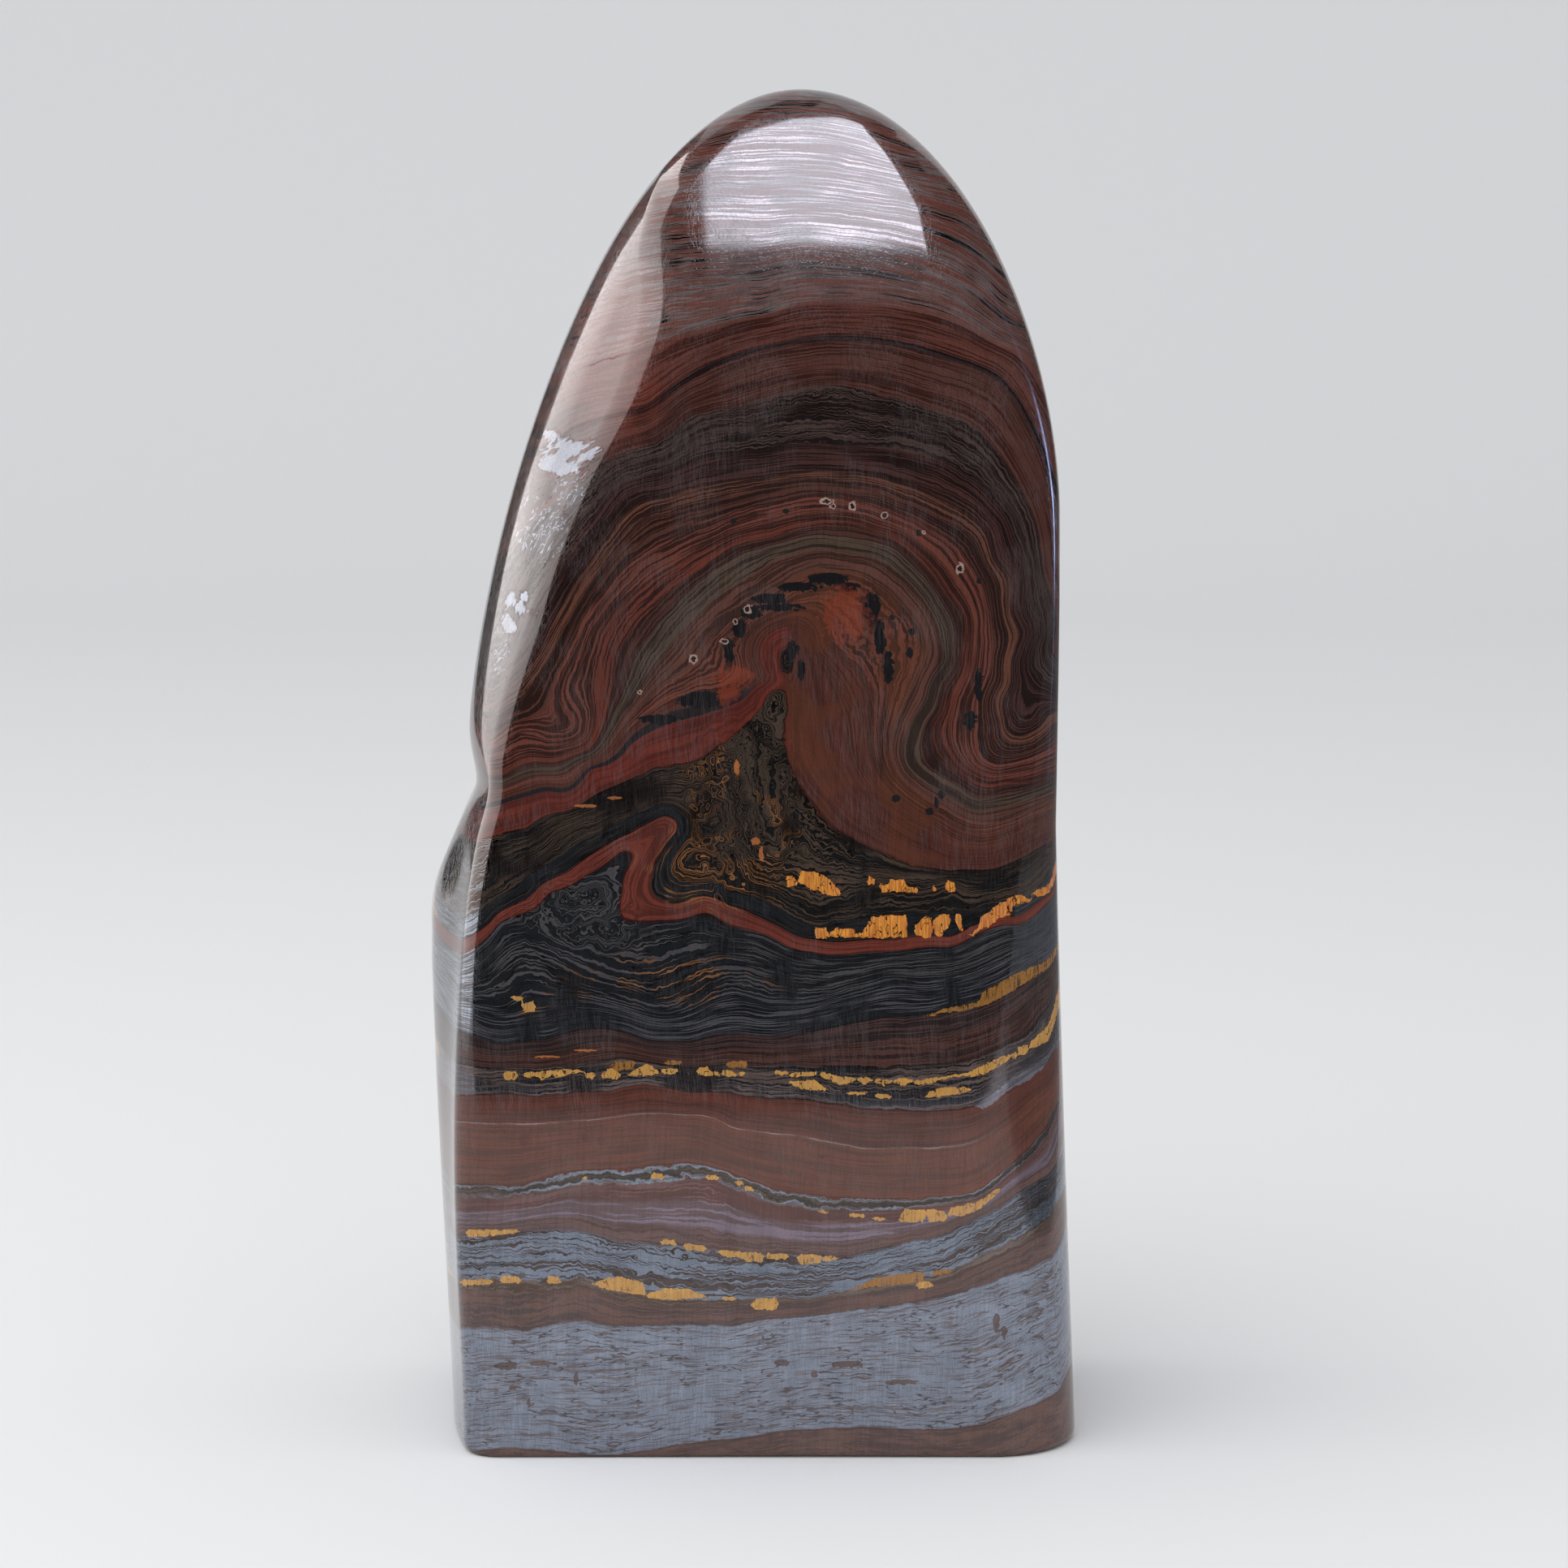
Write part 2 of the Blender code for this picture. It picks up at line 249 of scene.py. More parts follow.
# Beds of the rock, lowest first: each has its place in the pile in millimetres, and the points where it was
# read on the photograph, in the photograph's pixels across and down. Folds bring a bed back down.
bedLines = {
    "brownFoot": (3.3, [(741, 1793), (856, 1777), (967, 1762), (1098, 1760), (1200, 1756), (1251, 1740),
                        (1300, 1716), (1314, 1704)]),
    "greyBandTop": (17.0, [(551, 1640), (650, 1638), (750, 1631), (850, 1632), (900, 1633), (950, 1624),
                           (1050, 1614), (1150, 1601), (1250, 1569), (1314, 1540)]),
    "stripedFoot": (19.6, [(562, 1577), (650, 1577), (730, 1580), (800, 1599), (900, 1602), (1000, 1598),
                           (1100, 1582), (1200, 1551), (1250, 1527), (1314, 1485)]),
    "stripedTop": (24.2, [(572, 1523), (650, 1517), (750, 1526), (850, 1538), (930, 1546), (1050, 1547),
                          (1150, 1523), (1200, 1503), (1250, 1472), (1311, 1438)]),
    "thinBlue": (28.2, [(562, 1469), (650, 1467), (700, 1453), (800, 1447), (883, 1447), (925, 1464),
                        (983, 1478), (1050, 1484), (1100, 1484), (1150, 1480), (1200, 1474), (1235, 1450),
                        (1277, 1411), (1306, 1376)]),
    "paleThread": (34.4, [(550, 1380), (650, 1384), (750, 1377), (867, 1374), (904, 1389), (967, 1398),
                          (1067, 1415), (1150, 1414), (1200, 1406), (1256, 1367), (1308, 1330)]),
    "beadFoot": (38.5, [(560, 1350), (650, 1350), (750, 1344), (850, 1346), (950, 1353), (1050, 1365),
                        (1150, 1368), (1200, 1362), (1250, 1335), (1306, 1298)]),
    "beads": (41.6, [(560, 1322), (630, 1324), (700, 1323), (774, 1312), (825, 1320), (901, 1322),
                     (976, 1323), (1066, 1331), (1140, 1331), (1216, 1318), (1250, 1302), (1281, 1283),
                     (1306, 1245)]),
    "laminatedFoot": (48.6, [(556, 1268), (616, 1286), (675, 1280), (737, 1268), (800, 1281), (850, 1283),
                             (950, 1277), (1000, 1271), (1075, 1256), (1134, 1252), (1200, 1238),
                             (1250, 1215), (1302, 1182)]),
    "tongueUnder": (56.6, [(613, 1139), (633, 1129), (675, 1102), (729, 1074), (765, 1051), (775, 1056),
                           (768, 1084), (764, 1120), (785, 1136), (819, 1133), (870, 1128), (900, 1142),
                           (950, 1154), (982, 1171), (1050, 1175), (1150, 1167), (1200, 1154), (1240, 1138),
                           (1296, 1108)]),
    "tongueOver": (58.2, [(604, 1136), (650, 1106), (700, 1073), (750, 1040), (791, 1018), (819, 1005),
                          (835, 1018), (815, 1050), (803, 1078), (806, 1101), (830, 1114), (870, 1104),
                          (915, 1120), (965, 1144), (1000, 1157), (1100, 1157), (1171, 1154), (1250, 1129),
                          (1298, 1098)]),
    "goldTop": (60.6, [(965, 1120), (1000, 1138), (1030, 1136), (1066, 1128), (1117, 1126), (1190, 1124),
                       (1247, 1106), (1272, 1097), (1300, 1062)]),
    "goldTwo": (63.6, [(985, 1088), (1033, 1096), (1078, 1090), (1116, 1091), (1174, 1087), (1224, 1091),
                       (1260, 1078), (1300, 1052)]),
    "massFoot": (67.4, [(970, 828), (968, 856), (968, 884), (970, 935), (985, 969), (1007, 997),
                        (1030, 1022), (1075, 1047), (1126, 1066), (1171, 1073), (1224, 1071), (1267, 1053),
                        (1298, 1036)]),
    "redUnder": (67.4, [(596, 1033), (650, 1020), (700, 999), (750, 973), (791, 954), (842, 942),
                        (887, 918), (927, 882), (949, 853), (962, 825), (970, 800)]),
    "redOver": (71.6, [(590, 998), (631, 986), (673, 975), (729, 948), (777, 918), (822, 893), (870, 880),
                       (915, 862), (945, 838)]),
    "innerArc": (74.8, [(898, 797), (923, 769), (956, 752), (999, 733), (1040, 738), (1070, 770),
                        (1083, 800), (1090, 840)]),
    "olive": (78.4, [(620, 962), (680, 948), (729, 929), (750, 901), (772, 859), (800, 803), (836, 757),
                     (884, 712), (950, 677), (1000, 664), (1050, 669), (1100, 684), (1145, 729),
                     (1168, 774), (1172, 814), (1148, 870), (1128, 907), (1126, 938), (1154, 963),
                     (1200, 989), (1250, 982), (1296, 966)]),
    "redThreads": (80.2, [(900, 673), (950, 660), (1000, 648), (1050, 648), (1100, 662), (1134, 687),
                          (1165, 726), (1188, 769), (1185, 808), (1168, 850), (1152, 893), (1162, 932),
                          (1193, 961), (1238, 966), (1290, 955)]),
    "pittedRed": (82.6, [(640, 905), (700, 850), (730, 770), (820, 682), (880, 655), (940, 633),
                         (1000, 620), (1050, 625), (1100, 640), (1140, 660), (1183, 700), (1210, 780),
                         (1208, 820), (1190, 900), (1200, 940), (1230, 952), (1296, 932)]),
    "goldenThread": (85.4, [(1069, 595), (1126, 614), (1168, 633), (1213, 676), (1233, 718), (1243, 794),
                            (1236, 842), (1230, 890), (1247, 918), (1278, 910), (1298, 892)]),
    "hookEdge": (87.0, [(1235, 690), (1250, 757), (1250, 814), (1241, 860), (1246, 893), (1264, 898),
                        (1280, 890), (1298, 872)]),
    "darkFoot": (89.0, [(640, 790), (690, 700), (770, 600), (850, 575), (900, 563), (950, 558),
                        (1050, 556), (1100, 560), (1150, 572), (1200, 600), (1240, 645), (1262, 700),
                        (1275, 780), (1284, 850)]),
    "darkTop": (95.4, [(640, 660), (720, 590), (804, 547), (850, 515), (900, 502), (962, 484), (1025, 474),
                       (1100, 489), (1150, 505), (1200, 526), (1230, 557), (1262, 610), (1285, 700),
                       (1296, 800)]),
    "darkThread": (101.2, [(670, 560), (735, 520), (804, 500), (835, 476), (877, 452), (920, 436),
                           (1009, 418), (1077, 421), (1150, 436), (1200, 452), (1256, 500), (1285, 560)]),
    "stripesFoot": (105.2, [(700, 470), (750, 442), (814, 421), (862, 408), (951, 386), (1050, 376),
                            (1100, 379), (1150, 389), (1200, 410), (1250, 436), (1280, 475)]),
    "stripesMid": (110.4, [(745, 345), (830, 326), (900, 321), (993, 310), (1100, 323), (1150, 339),
                           (1200, 363), (1240, 395)]),
    "topLow": (117.5, [(800, 245), (850, 236), (950, 236), (1050, 240), (1120, 250), (1185, 268)]),
    "topHigh": (124.5, [(860, 168), (900, 158), (950, 152), (1020, 156), (1080, 168), (1115, 180)]),
    # single places between the lines, which hold the pile's order inside the folds
    "foot": (-2.0, [(900, 1850), (1250, 1830), (600, 1840)]),
    "greyBandMiddle": (10.0, [(650, 1715), (950, 1695), (1200, 1680)]),
    "laminatedMiddle": (52.5, [(650, 1210), (900, 1215), (1100, 1205)]),
    "underTongue": (55.2, [(700, 1145), (740, 1110)]),
    "pocket": (62.0, [(840, 1060), (900, 1085)]),
    "pocketLeft": (63.4, [(700, 1020), (640, 1058), (780, 990)]),
    "core": (65.0, [(880, 980), (930, 960), (900, 1040)]),
    "mass": (71.5, [(1040, 900), (1100, 1000), (1150, 1030)]),
    "patches": (72.8, [(1010, 800)]),
    "aboveRed": (75.0, [(700, 960)]),
    "aboveApex": (133.0, [(1000, 60)]),
}

# how the beds carry on into the depth of the stone, where the photograph doesn't reach
depth = {
    "start": 0.004,
    "riseRight": 0.34,  # how steeply the beds climb going back, right and left
    "riseLeft": 0.04,
    "riseFrom": -0.020,  # where on x the climb starts to steepen, and over how far
    "riseOver": 0.045,
    "swing": 0.0035,  # how far the folds wander sideways going back, and what of it goes up and down
    "swingUp": 0.5,
    "swingBack": 0.011,
    "swingHeight": 0.019,
    "swingSlant": 0.025,
}

# the thin plate bent through the bed points
plate = {
    "unit": 100.0,  # pixels in its unit of length
    "give": 1e-3,  # how much it may pass a bed point by
    "least": 1e-12,  # the least squared distance that its logarithm takes
    "parts": 40,  # in how many parts the points are worked through
}


def pictureSpot(points):
    # where a point falls on the photograph: its offset from the camera, turned by the tilt, over its
    # distance
    offset = points - np.array(camera["stand"])
    tilt = np.radians(camera["tilt"])
    ahead = offset[..., 1] * np.cos(tilt) - offset[..., 2] * np.sin(tilt)
    up = offset[..., 1] * np.sin(tilt) + offset[..., 2] * np.cos(tilt)
    middle = camera["picture"] / 2.0
    across = middle + camera["focal"] * offset[..., 0] / ahead
    return np.stack([across, middle - camera["focal"] * up / ahead], axis=-1)


def bedSurface(spots):
    # a thin plate bent through all the bed points: a sum of r2 log r round each point, and a flat slope
    places = np.concatenate([np.array(points, float) for _, points in bedLines.values()]) / plate["unit"]
    values = np.concatenate([np.full(len(points), bed) for bed, points in bedLines.values()])
    count = len(places)

    def pull(squared):
        return 0.5 * squared * np.log(np.maximum(squared, plate["least"]))

    matrix = np.zeros((count + 3, count + 3))
    apart = ((places[:, None] - places[None]) ** 2).sum(axis=-1)
    matrix[:count, :count] = pull(apart) + plate["give"] * np.eye(count)
    matrix[:count, count] = 1.0
    matrix[:count, count + 1 :] = places
    matrix[count:, :count] = matrix[:count, count:].T
    weight = np.linalg.solve(matrix, np.concatenate([values, np.zeros(3)]))
    found = []
    for part in np.array_split(spots / plate["unit"], plate["parts"]):
        squared = ((part[:, None] - places[None]) ** 2).sum(axis=-1)
        found.append(pull(squared) @ weight[:count] + weight[count] + part @ weight[count + 1 :])
    return np.concatenate(found)


def bedsAt(points):
    # where every point falls on the photograph, carried on going back past what the camera sees, with its
    # bed
    x, y, z = points[:, 0], points[:, 1], points[:, 2]
    hidden = np.maximum(y - frontLimit(x, z) - depth["start"], 0.0)
    rightward = smoothStep((x - depth["riseFrom"]) / depth["riseOver"])
    rise = depth["riseLeft"] + (depth["riseRight"] - depth["riseLeft"]) * rightward
    slanted = z / depth["swingHeight"] + hidden / depth["swingSlant"]
    swing = depth["swing"] * np.sin(hidden / depth["swingBack"]) * np.sin(slanted)
    carried = points.copy()
    carried[:, 0] = x + swing
    carried[:, 1] = y - hidden
    carried[:, 2] = z - rise * hidden + depth["swingUp"] * swing
    spots = pictureSpot(carried)
    return bedSurface(spots), np.column_stack([spots, hidden * millimetres])


def stoneMesh():
    rings = stoneRings()
    count, columns = rings.shape[:2]
    apex = np.array([[form["apexX"], form["apexY"], form["height"]]])
    points = np.concatenate([rings.reshape(-1, 3), apex])
    beds, spots = bedsAt(points)
    low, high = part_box("stone")
    middle = (points.min(axis=0) + points.max(axis=0)) / 2.0
    shift = np.array([(low[0] + high[0]) / 2.0 - middle[0], (low[1] + high[1]) / 2.0 - middle[1], low[2]])
    here = np.arange(count - 1)[:, None] * columns + np.arange(columns)[None, :]
    beside = np.arange(count - 1)[:, None] * columns + (np.arange(columns)[None, :] + 1) % columns
    walls = np.stack([here, beside, beside + columns, here + columns], axis=-1).reshape(-1, 4)
    last = (count - 1) * columns + np.arange(columns)
    fan = np.stack([last, np.roll(last, -1), np.full(columns, len(points) - 1)], axis=-1)
    base = np.arange(columns)[::-1]
    mesh = bpy.data.meshes.new("tigerIronStone")
    mesh.from_pydata((points + shift).tolist(), [], walls.tolist() + fan.tolist() + [base.tolist()])
    mesh.shade_smooth()
    mesh.attributes.new("bed", "FLOAT", "POINT").data.foreach_set("value", beds.astype(np.float32))
    picture = mesh.attributes.new("picture", "FLOAT_VECTOR", "POINT")
    picture.data.foreach_set("vector", spots.astype(np.float32).ravel())
    mesh.update()
    return mesh, shift


def fromScreen(red, green, blue):
    # a colour named as a screen shows it, 0 to 255, turned to the linear colour that shaders
    # use by sRGB's own curve
    shown = np.array([red, green, blue]) / 255.0
    linear = np.where(shown <= 0.04045, shown / 12.92, ((shown + 0.055) / 1.055) ** 2.4)
    return (*linear.tolist(), 1.0)


def rampGroup(kind, stops):
    # a ramp in a small group of its own, because filling one inside a large material is slow
    group = bpy.data.node_groups.new("tonesByPlace", "ShaderNodeTree")
    group.interface.new_socket("Place", in_out="INPUT", socket_type="NodeSocketFloat")
    group.interface.new_socket("Tone", in_out="OUTPUT", socket_type="NodeSocketColor")
    made = group.nodes.new("ShaderNode" + kind)
    for place, _ in stops[1:-1]:
        made.color_ramp.elements.new(place)
    for element, (place, colour) in zip(made.color_ramp.elements, stops):
        element.position = place
        element.color = colour
    group.links.new(group.nodes.new("NodeGroupInput").outputs[0], made.inputs[0])
    group.links.new(made.outputs[0], group.nodes.new("NodeGroupOutput").inputs[0])
    return group


class Wire:
    # one socket of a material; sums written on wires add the Math nodes
    def __init__(self, tree, socket=None):
        self.tree = tree
        self.socket = socket

    def node(self, kind, settings, inputs, out=0):
        if "stops" in settings:
            kind, settings = "Group", {"node_tree": rampGroup(kind, settings["stops"])}
        made = self.tree.nodes.new("ShaderNode" + kind)
        for name, value in settings.items():
            setattr(made, name, value)
        for name, value in inputs.items():
            if isinstance(value, Wire):
                self.tree.links.new(value.socket, made.inputs[name])
            else:
                made.inputs[name].default_value = value
        return Wire(self.tree, None if out is None else made.outputs[out])

    def math(self, operation, *values):
        return self.node("Math", {"operation": operation}, dict(enumerate(values)))

    def __add__(self, other):
        return self.math("ADD", self, other)

    def __radd__(self, other):
        return self.math("ADD", other, self)

    def __sub__(self, other):
        return self.math("SUBTRACT", self, other)

    def __rsub__(self, other):
        return self.math("SUBTRACT", other, self)

    def __mul__(self, other):
        return self.math("MULTIPLY", self, other)

    def __rmul__(self, other):
        return self.math("MULTIPLY", other, self)

    def rise(self, low, high):
        # 0 below low, 1 above high, and smooth between
        settings = {"interpolation_type": "SMOOTHSTEP"}
        return self.node("MapRange", settings, {"Value": self, "From Min": low, "From Max": high})

    def within(self, low, high, soft):
        # 1 between low and high, fading over soft at both ends
        return self.rise(low - soft, low + soft) * (1.0 - self.rise(high - soft, high + soft))

    def near(self, middle, half, flat=0.45):
        # 1 close to a value, and gone half a width away; the flat share of the half doesn't fade
        return 1.0 - self.math("ABSOLUTE", self - middle).rise(half * flat, half)

    def noise(self, scale, detail=2.0, rough=0.5):
        inputs = {"Vector": self, "Scale": scale, "Detail": detail, "Roughness": rough}
        return self.node("TexNoise", {}, inputs)

    def cells(self, feature, out):
        return self.node("TexVoronoi", {"feature": feature}, {"Vector": self, "Scale": 1.0}, out=out)

    def times(self, x, y, z):
        return self.node("VectorMath", {"operation": "MULTIPLY"}, {0: self, 1: (x, y, z)})

    def parts(self):
        made = self.node("SeparateXYZ", {}, {0: self}).socket.node
        return [Wire(self.tree, out) for out in made.outputs]

    def together(self, x, y, z):
        return self.node("CombineXYZ", {}, {0: x, 1: y, 2: z})

    def blend(self, first, second):
        # this wire as the share of the second colour over the first
        return self.node("Mix", {"data_type": "RGBA"}, {0: self, 6: first, 7: second}, out=2)

    def profile(self, points):
        # straight lines through (place, level) points, as a ramp between the lowest and highest level
        low, high = points[0][0], points[-1][0]
        least, most = min(level for _, level in points), max(level for _, level in points)
        shares = [((at - low) / (high - low), (level - least) / (most - least)) for at, level in points]
        stops = [(at, (share, share, share, 1.0)) for at, share in shares]
        ramp = self.node("ValToRGB", {"stops": stops}, {0: self.spread(low, high, 0.0, 1.0)})
        return ramp.spread(0.0, 1.0, least, most)

    def spread(self, low, high, newLow, newHigh):
        # one range of values stretched to another
        inputs = {"Value": self, "From Min": low, "From Max": high, "To Min": newLow, "To Max": newHigh}
        return self.node("MapRange", {}, inputs)

    def moved(self, x, y):
        return self.node("VectorMath", {"operation": "ADD"}, {0: self, 1: self.together(x, y, 0.0)})

    def scaled(self, factor):
        return self.node("VectorMath", {"operation": "SCALE"}, {0: self, "Scale": factor})


# The beds' finishes. Each row: top of the bed in millimetres, its main tone and the tone of its fine
# threads, the haematite in each, how strongly it is crinkled, how much of it is threads, and how fine.
bedTones = [
    (3.3, (98, 72, 64), (78, 58, 54), 0.10, 0.10, 0.10, 0.40, 0.3),
    (17.0, (137, 144, 158), (114, 108, 112), 0.98, 0.60, 0.18, 0.27, 0.8),
    (18.9, (98, 70, 62), (76, 60, 58), 0.08, 0.30, 0.20, 0.45, 0.5),
    (19.6, (112, 98, 92), (82, 64, 54), 0.50, 0.20, 0.30, 0.50, 0.6),
    (24.2, (124, 132, 146), (70, 58, 54), 0.98, 0.10, 0.45, 0.36, 0.7),
    (25.3, (98, 74, 70), (82, 60, 56), 0.10, 0.30, 0.20, 0.50, 0.4),
    (26.7, (122, 108, 120), (96, 78, 80), 0.40, 0.25, 0.10, 0.42, 0.3),
    (27.7, (104, 76, 74), (86, 56, 52), 0.20, 0.20, 0.20, 0.50, 0.3),
    (28.05, (130, 139, 151), (96, 84, 84), 0.95, 0.20, 0.45, 0.48, 0.7),
    (28.4, (84, 72, 58), (58, 50, 48), 0.30, 0.30, 0.40, 0.50, 0.6),
    (28.8, (130, 139, 151), (96, 84, 84), 0.95, 0.20, 0.45, 0.48, 0.7),
    (34.4, (98, 56, 43), (82, 51, 42), 0.04, 0.10, 0.10, 0.38, 0.4),
    (38.5, (90, 49, 39), (72, 43, 36), 0.04, 0.10, 0.10, 0.42, 0.4),
    (40.2, (110, 112, 122), (98, 86, 84), 1.0, 0.15, 0.30, 0.48, 0.8),
    (43.2, (110, 112, 122), (94, 80, 76), 1.0, 0.15, 0.30, 0.50, 0.9),
    (46.2, (78, 50, 44), (46, 32, 30), 0.10, 0.20, 0.20, 0.46, 0.6),
    (48.6, (72, 52, 50), (44, 34, 34), 0.15, 0.30, 0.15, 0.48, 0.7),
    (52.2, (124, 130, 140), (76, 75, 80), 1.0, 0.15, 0.06, 0.46, 1.0),
    (56.6, (124, 130, 140), (72, 70, 73), 1.0, 0.15, 0.15, 0.46, 1.0),
    (58.2, (104, 50, 41), (78, 38, 31), 0.03, 0.10, 0.03, 0.38, 0.5),
    (60.5, (124, 130, 140), (50, 45, 43), 1.0, 0.20, 0.20, 0.44, 0.8),
    (64.2, (112, 112, 116), (66, 54, 46), 1.0, 0.05, 0.40, 0.56, 0.9),
    (67.4, (112, 112, 116), (66, 54, 46), 1.0, 0.05, 0.40, 0.56, 0.9),
    (71.6, (77, 41, 34), (64, 34, 28), 0.03, 0.10, 0.10, 0.42, 0.5),
    (74.0, (82, 45, 36), (62, 35, 28), 0.03, 0.10, 0.10, 0.42, 0.5),
    (75.8, (98, 56, 46), (56, 34, 28), 0.03, 0.10, 0.15, 0.45, 0.6),
    (77.4, (86, 55, 47), (56, 37, 32), 0.03, 0.10, 0.10, 0.45, 0.6),
    (78.9, (76, 62, 53), (48, 36, 31), 0.05, 0.10, 0.10, 0.44, 0.5),
    (80.0, (70, 45, 40), (46, 29, 26), 0.05, 0.20, 0.10, 0.46, 0.6),
    (81.4, (94, 48, 39), (50, 30, 26), 0.03, 0.20, 0.10, 0.48, 0.7),
    (83.6, (98, 55, 46), (52, 31, 27), 0.03, 0.20, 0.10, 0.46, 0.6),
    (85.2, (76, 46, 39), (42, 27, 24), 0.05, 0.20, 0.10, 0.48, 0.7),
    (86.4, (92, 58, 46), (46, 30, 27), 0.05, 0.20, 0.10, 0.47, 0.7),
    (89.6, (66, 43, 40), (38, 26, 25), 0.08, 0.30, 0.12, 0.50, 0.7),
    (95.4, (70, 56, 52), (37, 28, 27), 0.10, 0.40, 0.40, 0.52, 0.9),
    (98.6, (80, 50, 44), (52, 30, 26), 0.04, 0.10, 0.12, 0.46, 0.5),
    (101.0, (78, 50, 44), (52, 30, 26), 0.04, 0.10, 0.12, 0.46, 0.6),
    (101.7, (58, 44, 44), (34, 26, 27), 0.30, 0.40, 0.12, 0.50, 0.6),
    (105.2, (86, 50, 43), (52, 29, 25), 0.03, 0.10, 0.08, 0.44, 0.5),
    (109.0, (92, 56, 49), (100, 92, 92), 0.03, 1.0, 0.08, 0.42, 0.7),
    (114.0, (88, 52, 45), (100, 92, 92), 0.03, 1.0, 0.08, 0.44, 0.7),
    (140.0, (90, 50, 42), (100, 92, 92), 0.03, 1.0, 0.08, 0.42, 0.6),
]
bedTops, mainTones, threadTones, mainIrons, threadIrons, crinkles, threadShares, finenesses = zip(*bedTones)

rock = {
    "lowestBed": -10.0,  # millimetres of bed where the ramps start
    "soft": 0.12,  # millimetres over which one bed turns into the next, and the most of a thin bed
    "softShare": 0.3,
    "perRamp": 8,
    "join": 0.05,
    # where the beds turn too slowly to draw threads: a place, its reach, and the slopes of the threads there
    "slowPlaces": [(915, 985, 45, 85, 0.16, -0.02), (712, 1128, 55, 32, 0.02, 0.10)],
    "giltPlaces": [(905, 970, 62, 110), (900, 1070, 120, 45), (820, 1208, 110, 30), (640, 1232, 42, 16)],
    "warmFacet": (748, 430, 62, 100),
    "edge": 1.3,  # pixels over which a seam's edge fades
    # millimetres back from the front over which placed seams give way to scattered ones
    "seen": (7.0, 16.0),
}

# colours as a screen shows them
tones = {
    "gold": (210, 142, 60),
    "pinkGold": (206, 134, 80),
    "orangeGold": (176, 104, 48),
    "beadGold": (196, 146, 72),
    "beadBrown": (156, 114, 64),
    "oliveGold": (146, 102, 52),
    "brownGold": (150, 98, 52),
    "brick": (98, 42, 34),
    "darkBrick": (72, 33, 27),
    "orangeRed": (132, 56, 36),
    "black": (30, 28, 30),
    "slate": (44, 42, 46),
    "warmJasper": (134, 62, 48),
    "brown": (86, 64, 56),
    "crack": (72, 58, 56),
    "rust": (94, 56, 38),
    "silver": (150, 156, 170),
    "dimSilver": (112, 116, 124),
    "paleLine": (150, 144, 146),
    # painted highlight: the pale rim round a pit's hole
    "rimHighlight": (168, 138, 126),
}

# the haematite in each patch, and the share of what lies under it that it covers
cover = {
    "brick": (0.03, 1.0),
    "blackLine": (0.5, 0.85),
    "rust": (0.0, 0.35),
    "gilt": (0.0, 0.75),
    "dark": (0.3, 1.0),
    "lens": (0.1, 0.85),
    "dot": (0.0, 0.45),
    "orange": (0.0, 0.45),
    "crack": (0.1, 0.8),
    "gold": (0.0, 1.0),
    "bead": (0.0, 0.92),
    "fleck": (0.0, 0.75),
    "dull": (0.1, 1.0),
    "lavender": (0.9, 0.5),
    "silver": (1.0, 1.0),
    # painted shade in the pits' holes, and a painted highlight on their rims
    "pitShade": (0.0, 1.0),
    "rimHighlight": (0.0, 0.8),
}

# Seams read on the photograph: at rising places across, the top edge and the bottom edge in its pixels.
# Where the two edges meet there is no seam.
goldSeams = {
    "blocks": [(1004, 1146, 1146), (1006, 1142, 1157), (1018, 1142, 1157), (1021, 1152, 1155),
               (1024, 1148, 1155), (1031, 1143, 1155), (1051, 1143, 1156), (1055, 1149, 1156),
               (1064, 1148, 1156), (1067, 1141, 1156), (1074, 1129, 1156), (1093, 1127, 1156),
               (1117, 1127, 1156), (1118, 1148, 1148), (1126, 1148, 1148), (1128, 1140, 1152),
               (1140, 1128, 1156), (1148, 1130, 1156), (1149, 1143, 1143), (1151, 1133, 1150),
               (1158, 1126, 1156), (1170, 1126, 1140), (1172, 1134, 1134), (1176, 1134, 1134),
               (1178, 1125, 1139), (1184, 1127, 1149), (1187, 1146, 1146)],
    "rise": [(1190, 1150, 1150), (1198, 1150, 1154), (1206, 1140, 1148), (1210, 1129, 1145),
             (1219, 1122, 1142), (1231, 1113, 1132), (1245, 1106, 1129), (1248, 1105, 1118),
             (1257, 1102, 1115), (1268, 1107, 1112), (1273, 1100, 1102), (1278, 1096, 1106),
             (1289, 1092, 1103), (1294, 1085, 1099), (1299, 1073, 1092), (1303, 1050, 1080),
             (1307, 1030, 1062)],
    "upper": [(967, 1084, 1084), (970, 1077, 1093), (980, 1079, 1092), (982, 1088, 1088),
              (984, 1080, 1088), (988, 1073, 1090), (1004, 1072, 1098), (1014, 1077, 1102),
              (1024, 1086, 1104), (1034, 1096, 1104), (1037, 1100, 1100), (1068, 1086, 1086),
              (1071, 1079, 1092), (1077, 1083, 1090), (1079, 1090, 1090), (1083, 1092, 1092),
              (1086, 1088, 1100), (1094, 1090, 1100), (1098, 1083, 1099), (1115, 1083, 1100),
              (1118, 1092, 1100), (1130, 1094, 1100), (1132, 1096, 1096), (1148, 1096, 1096),
              (1151, 1088, 1100), (1154, 1098, 1098), (1164, 1094, 1094), (1168, 1084, 1100),
              (1175, 1086, 1100), (1178, 1096, 1096)],
}
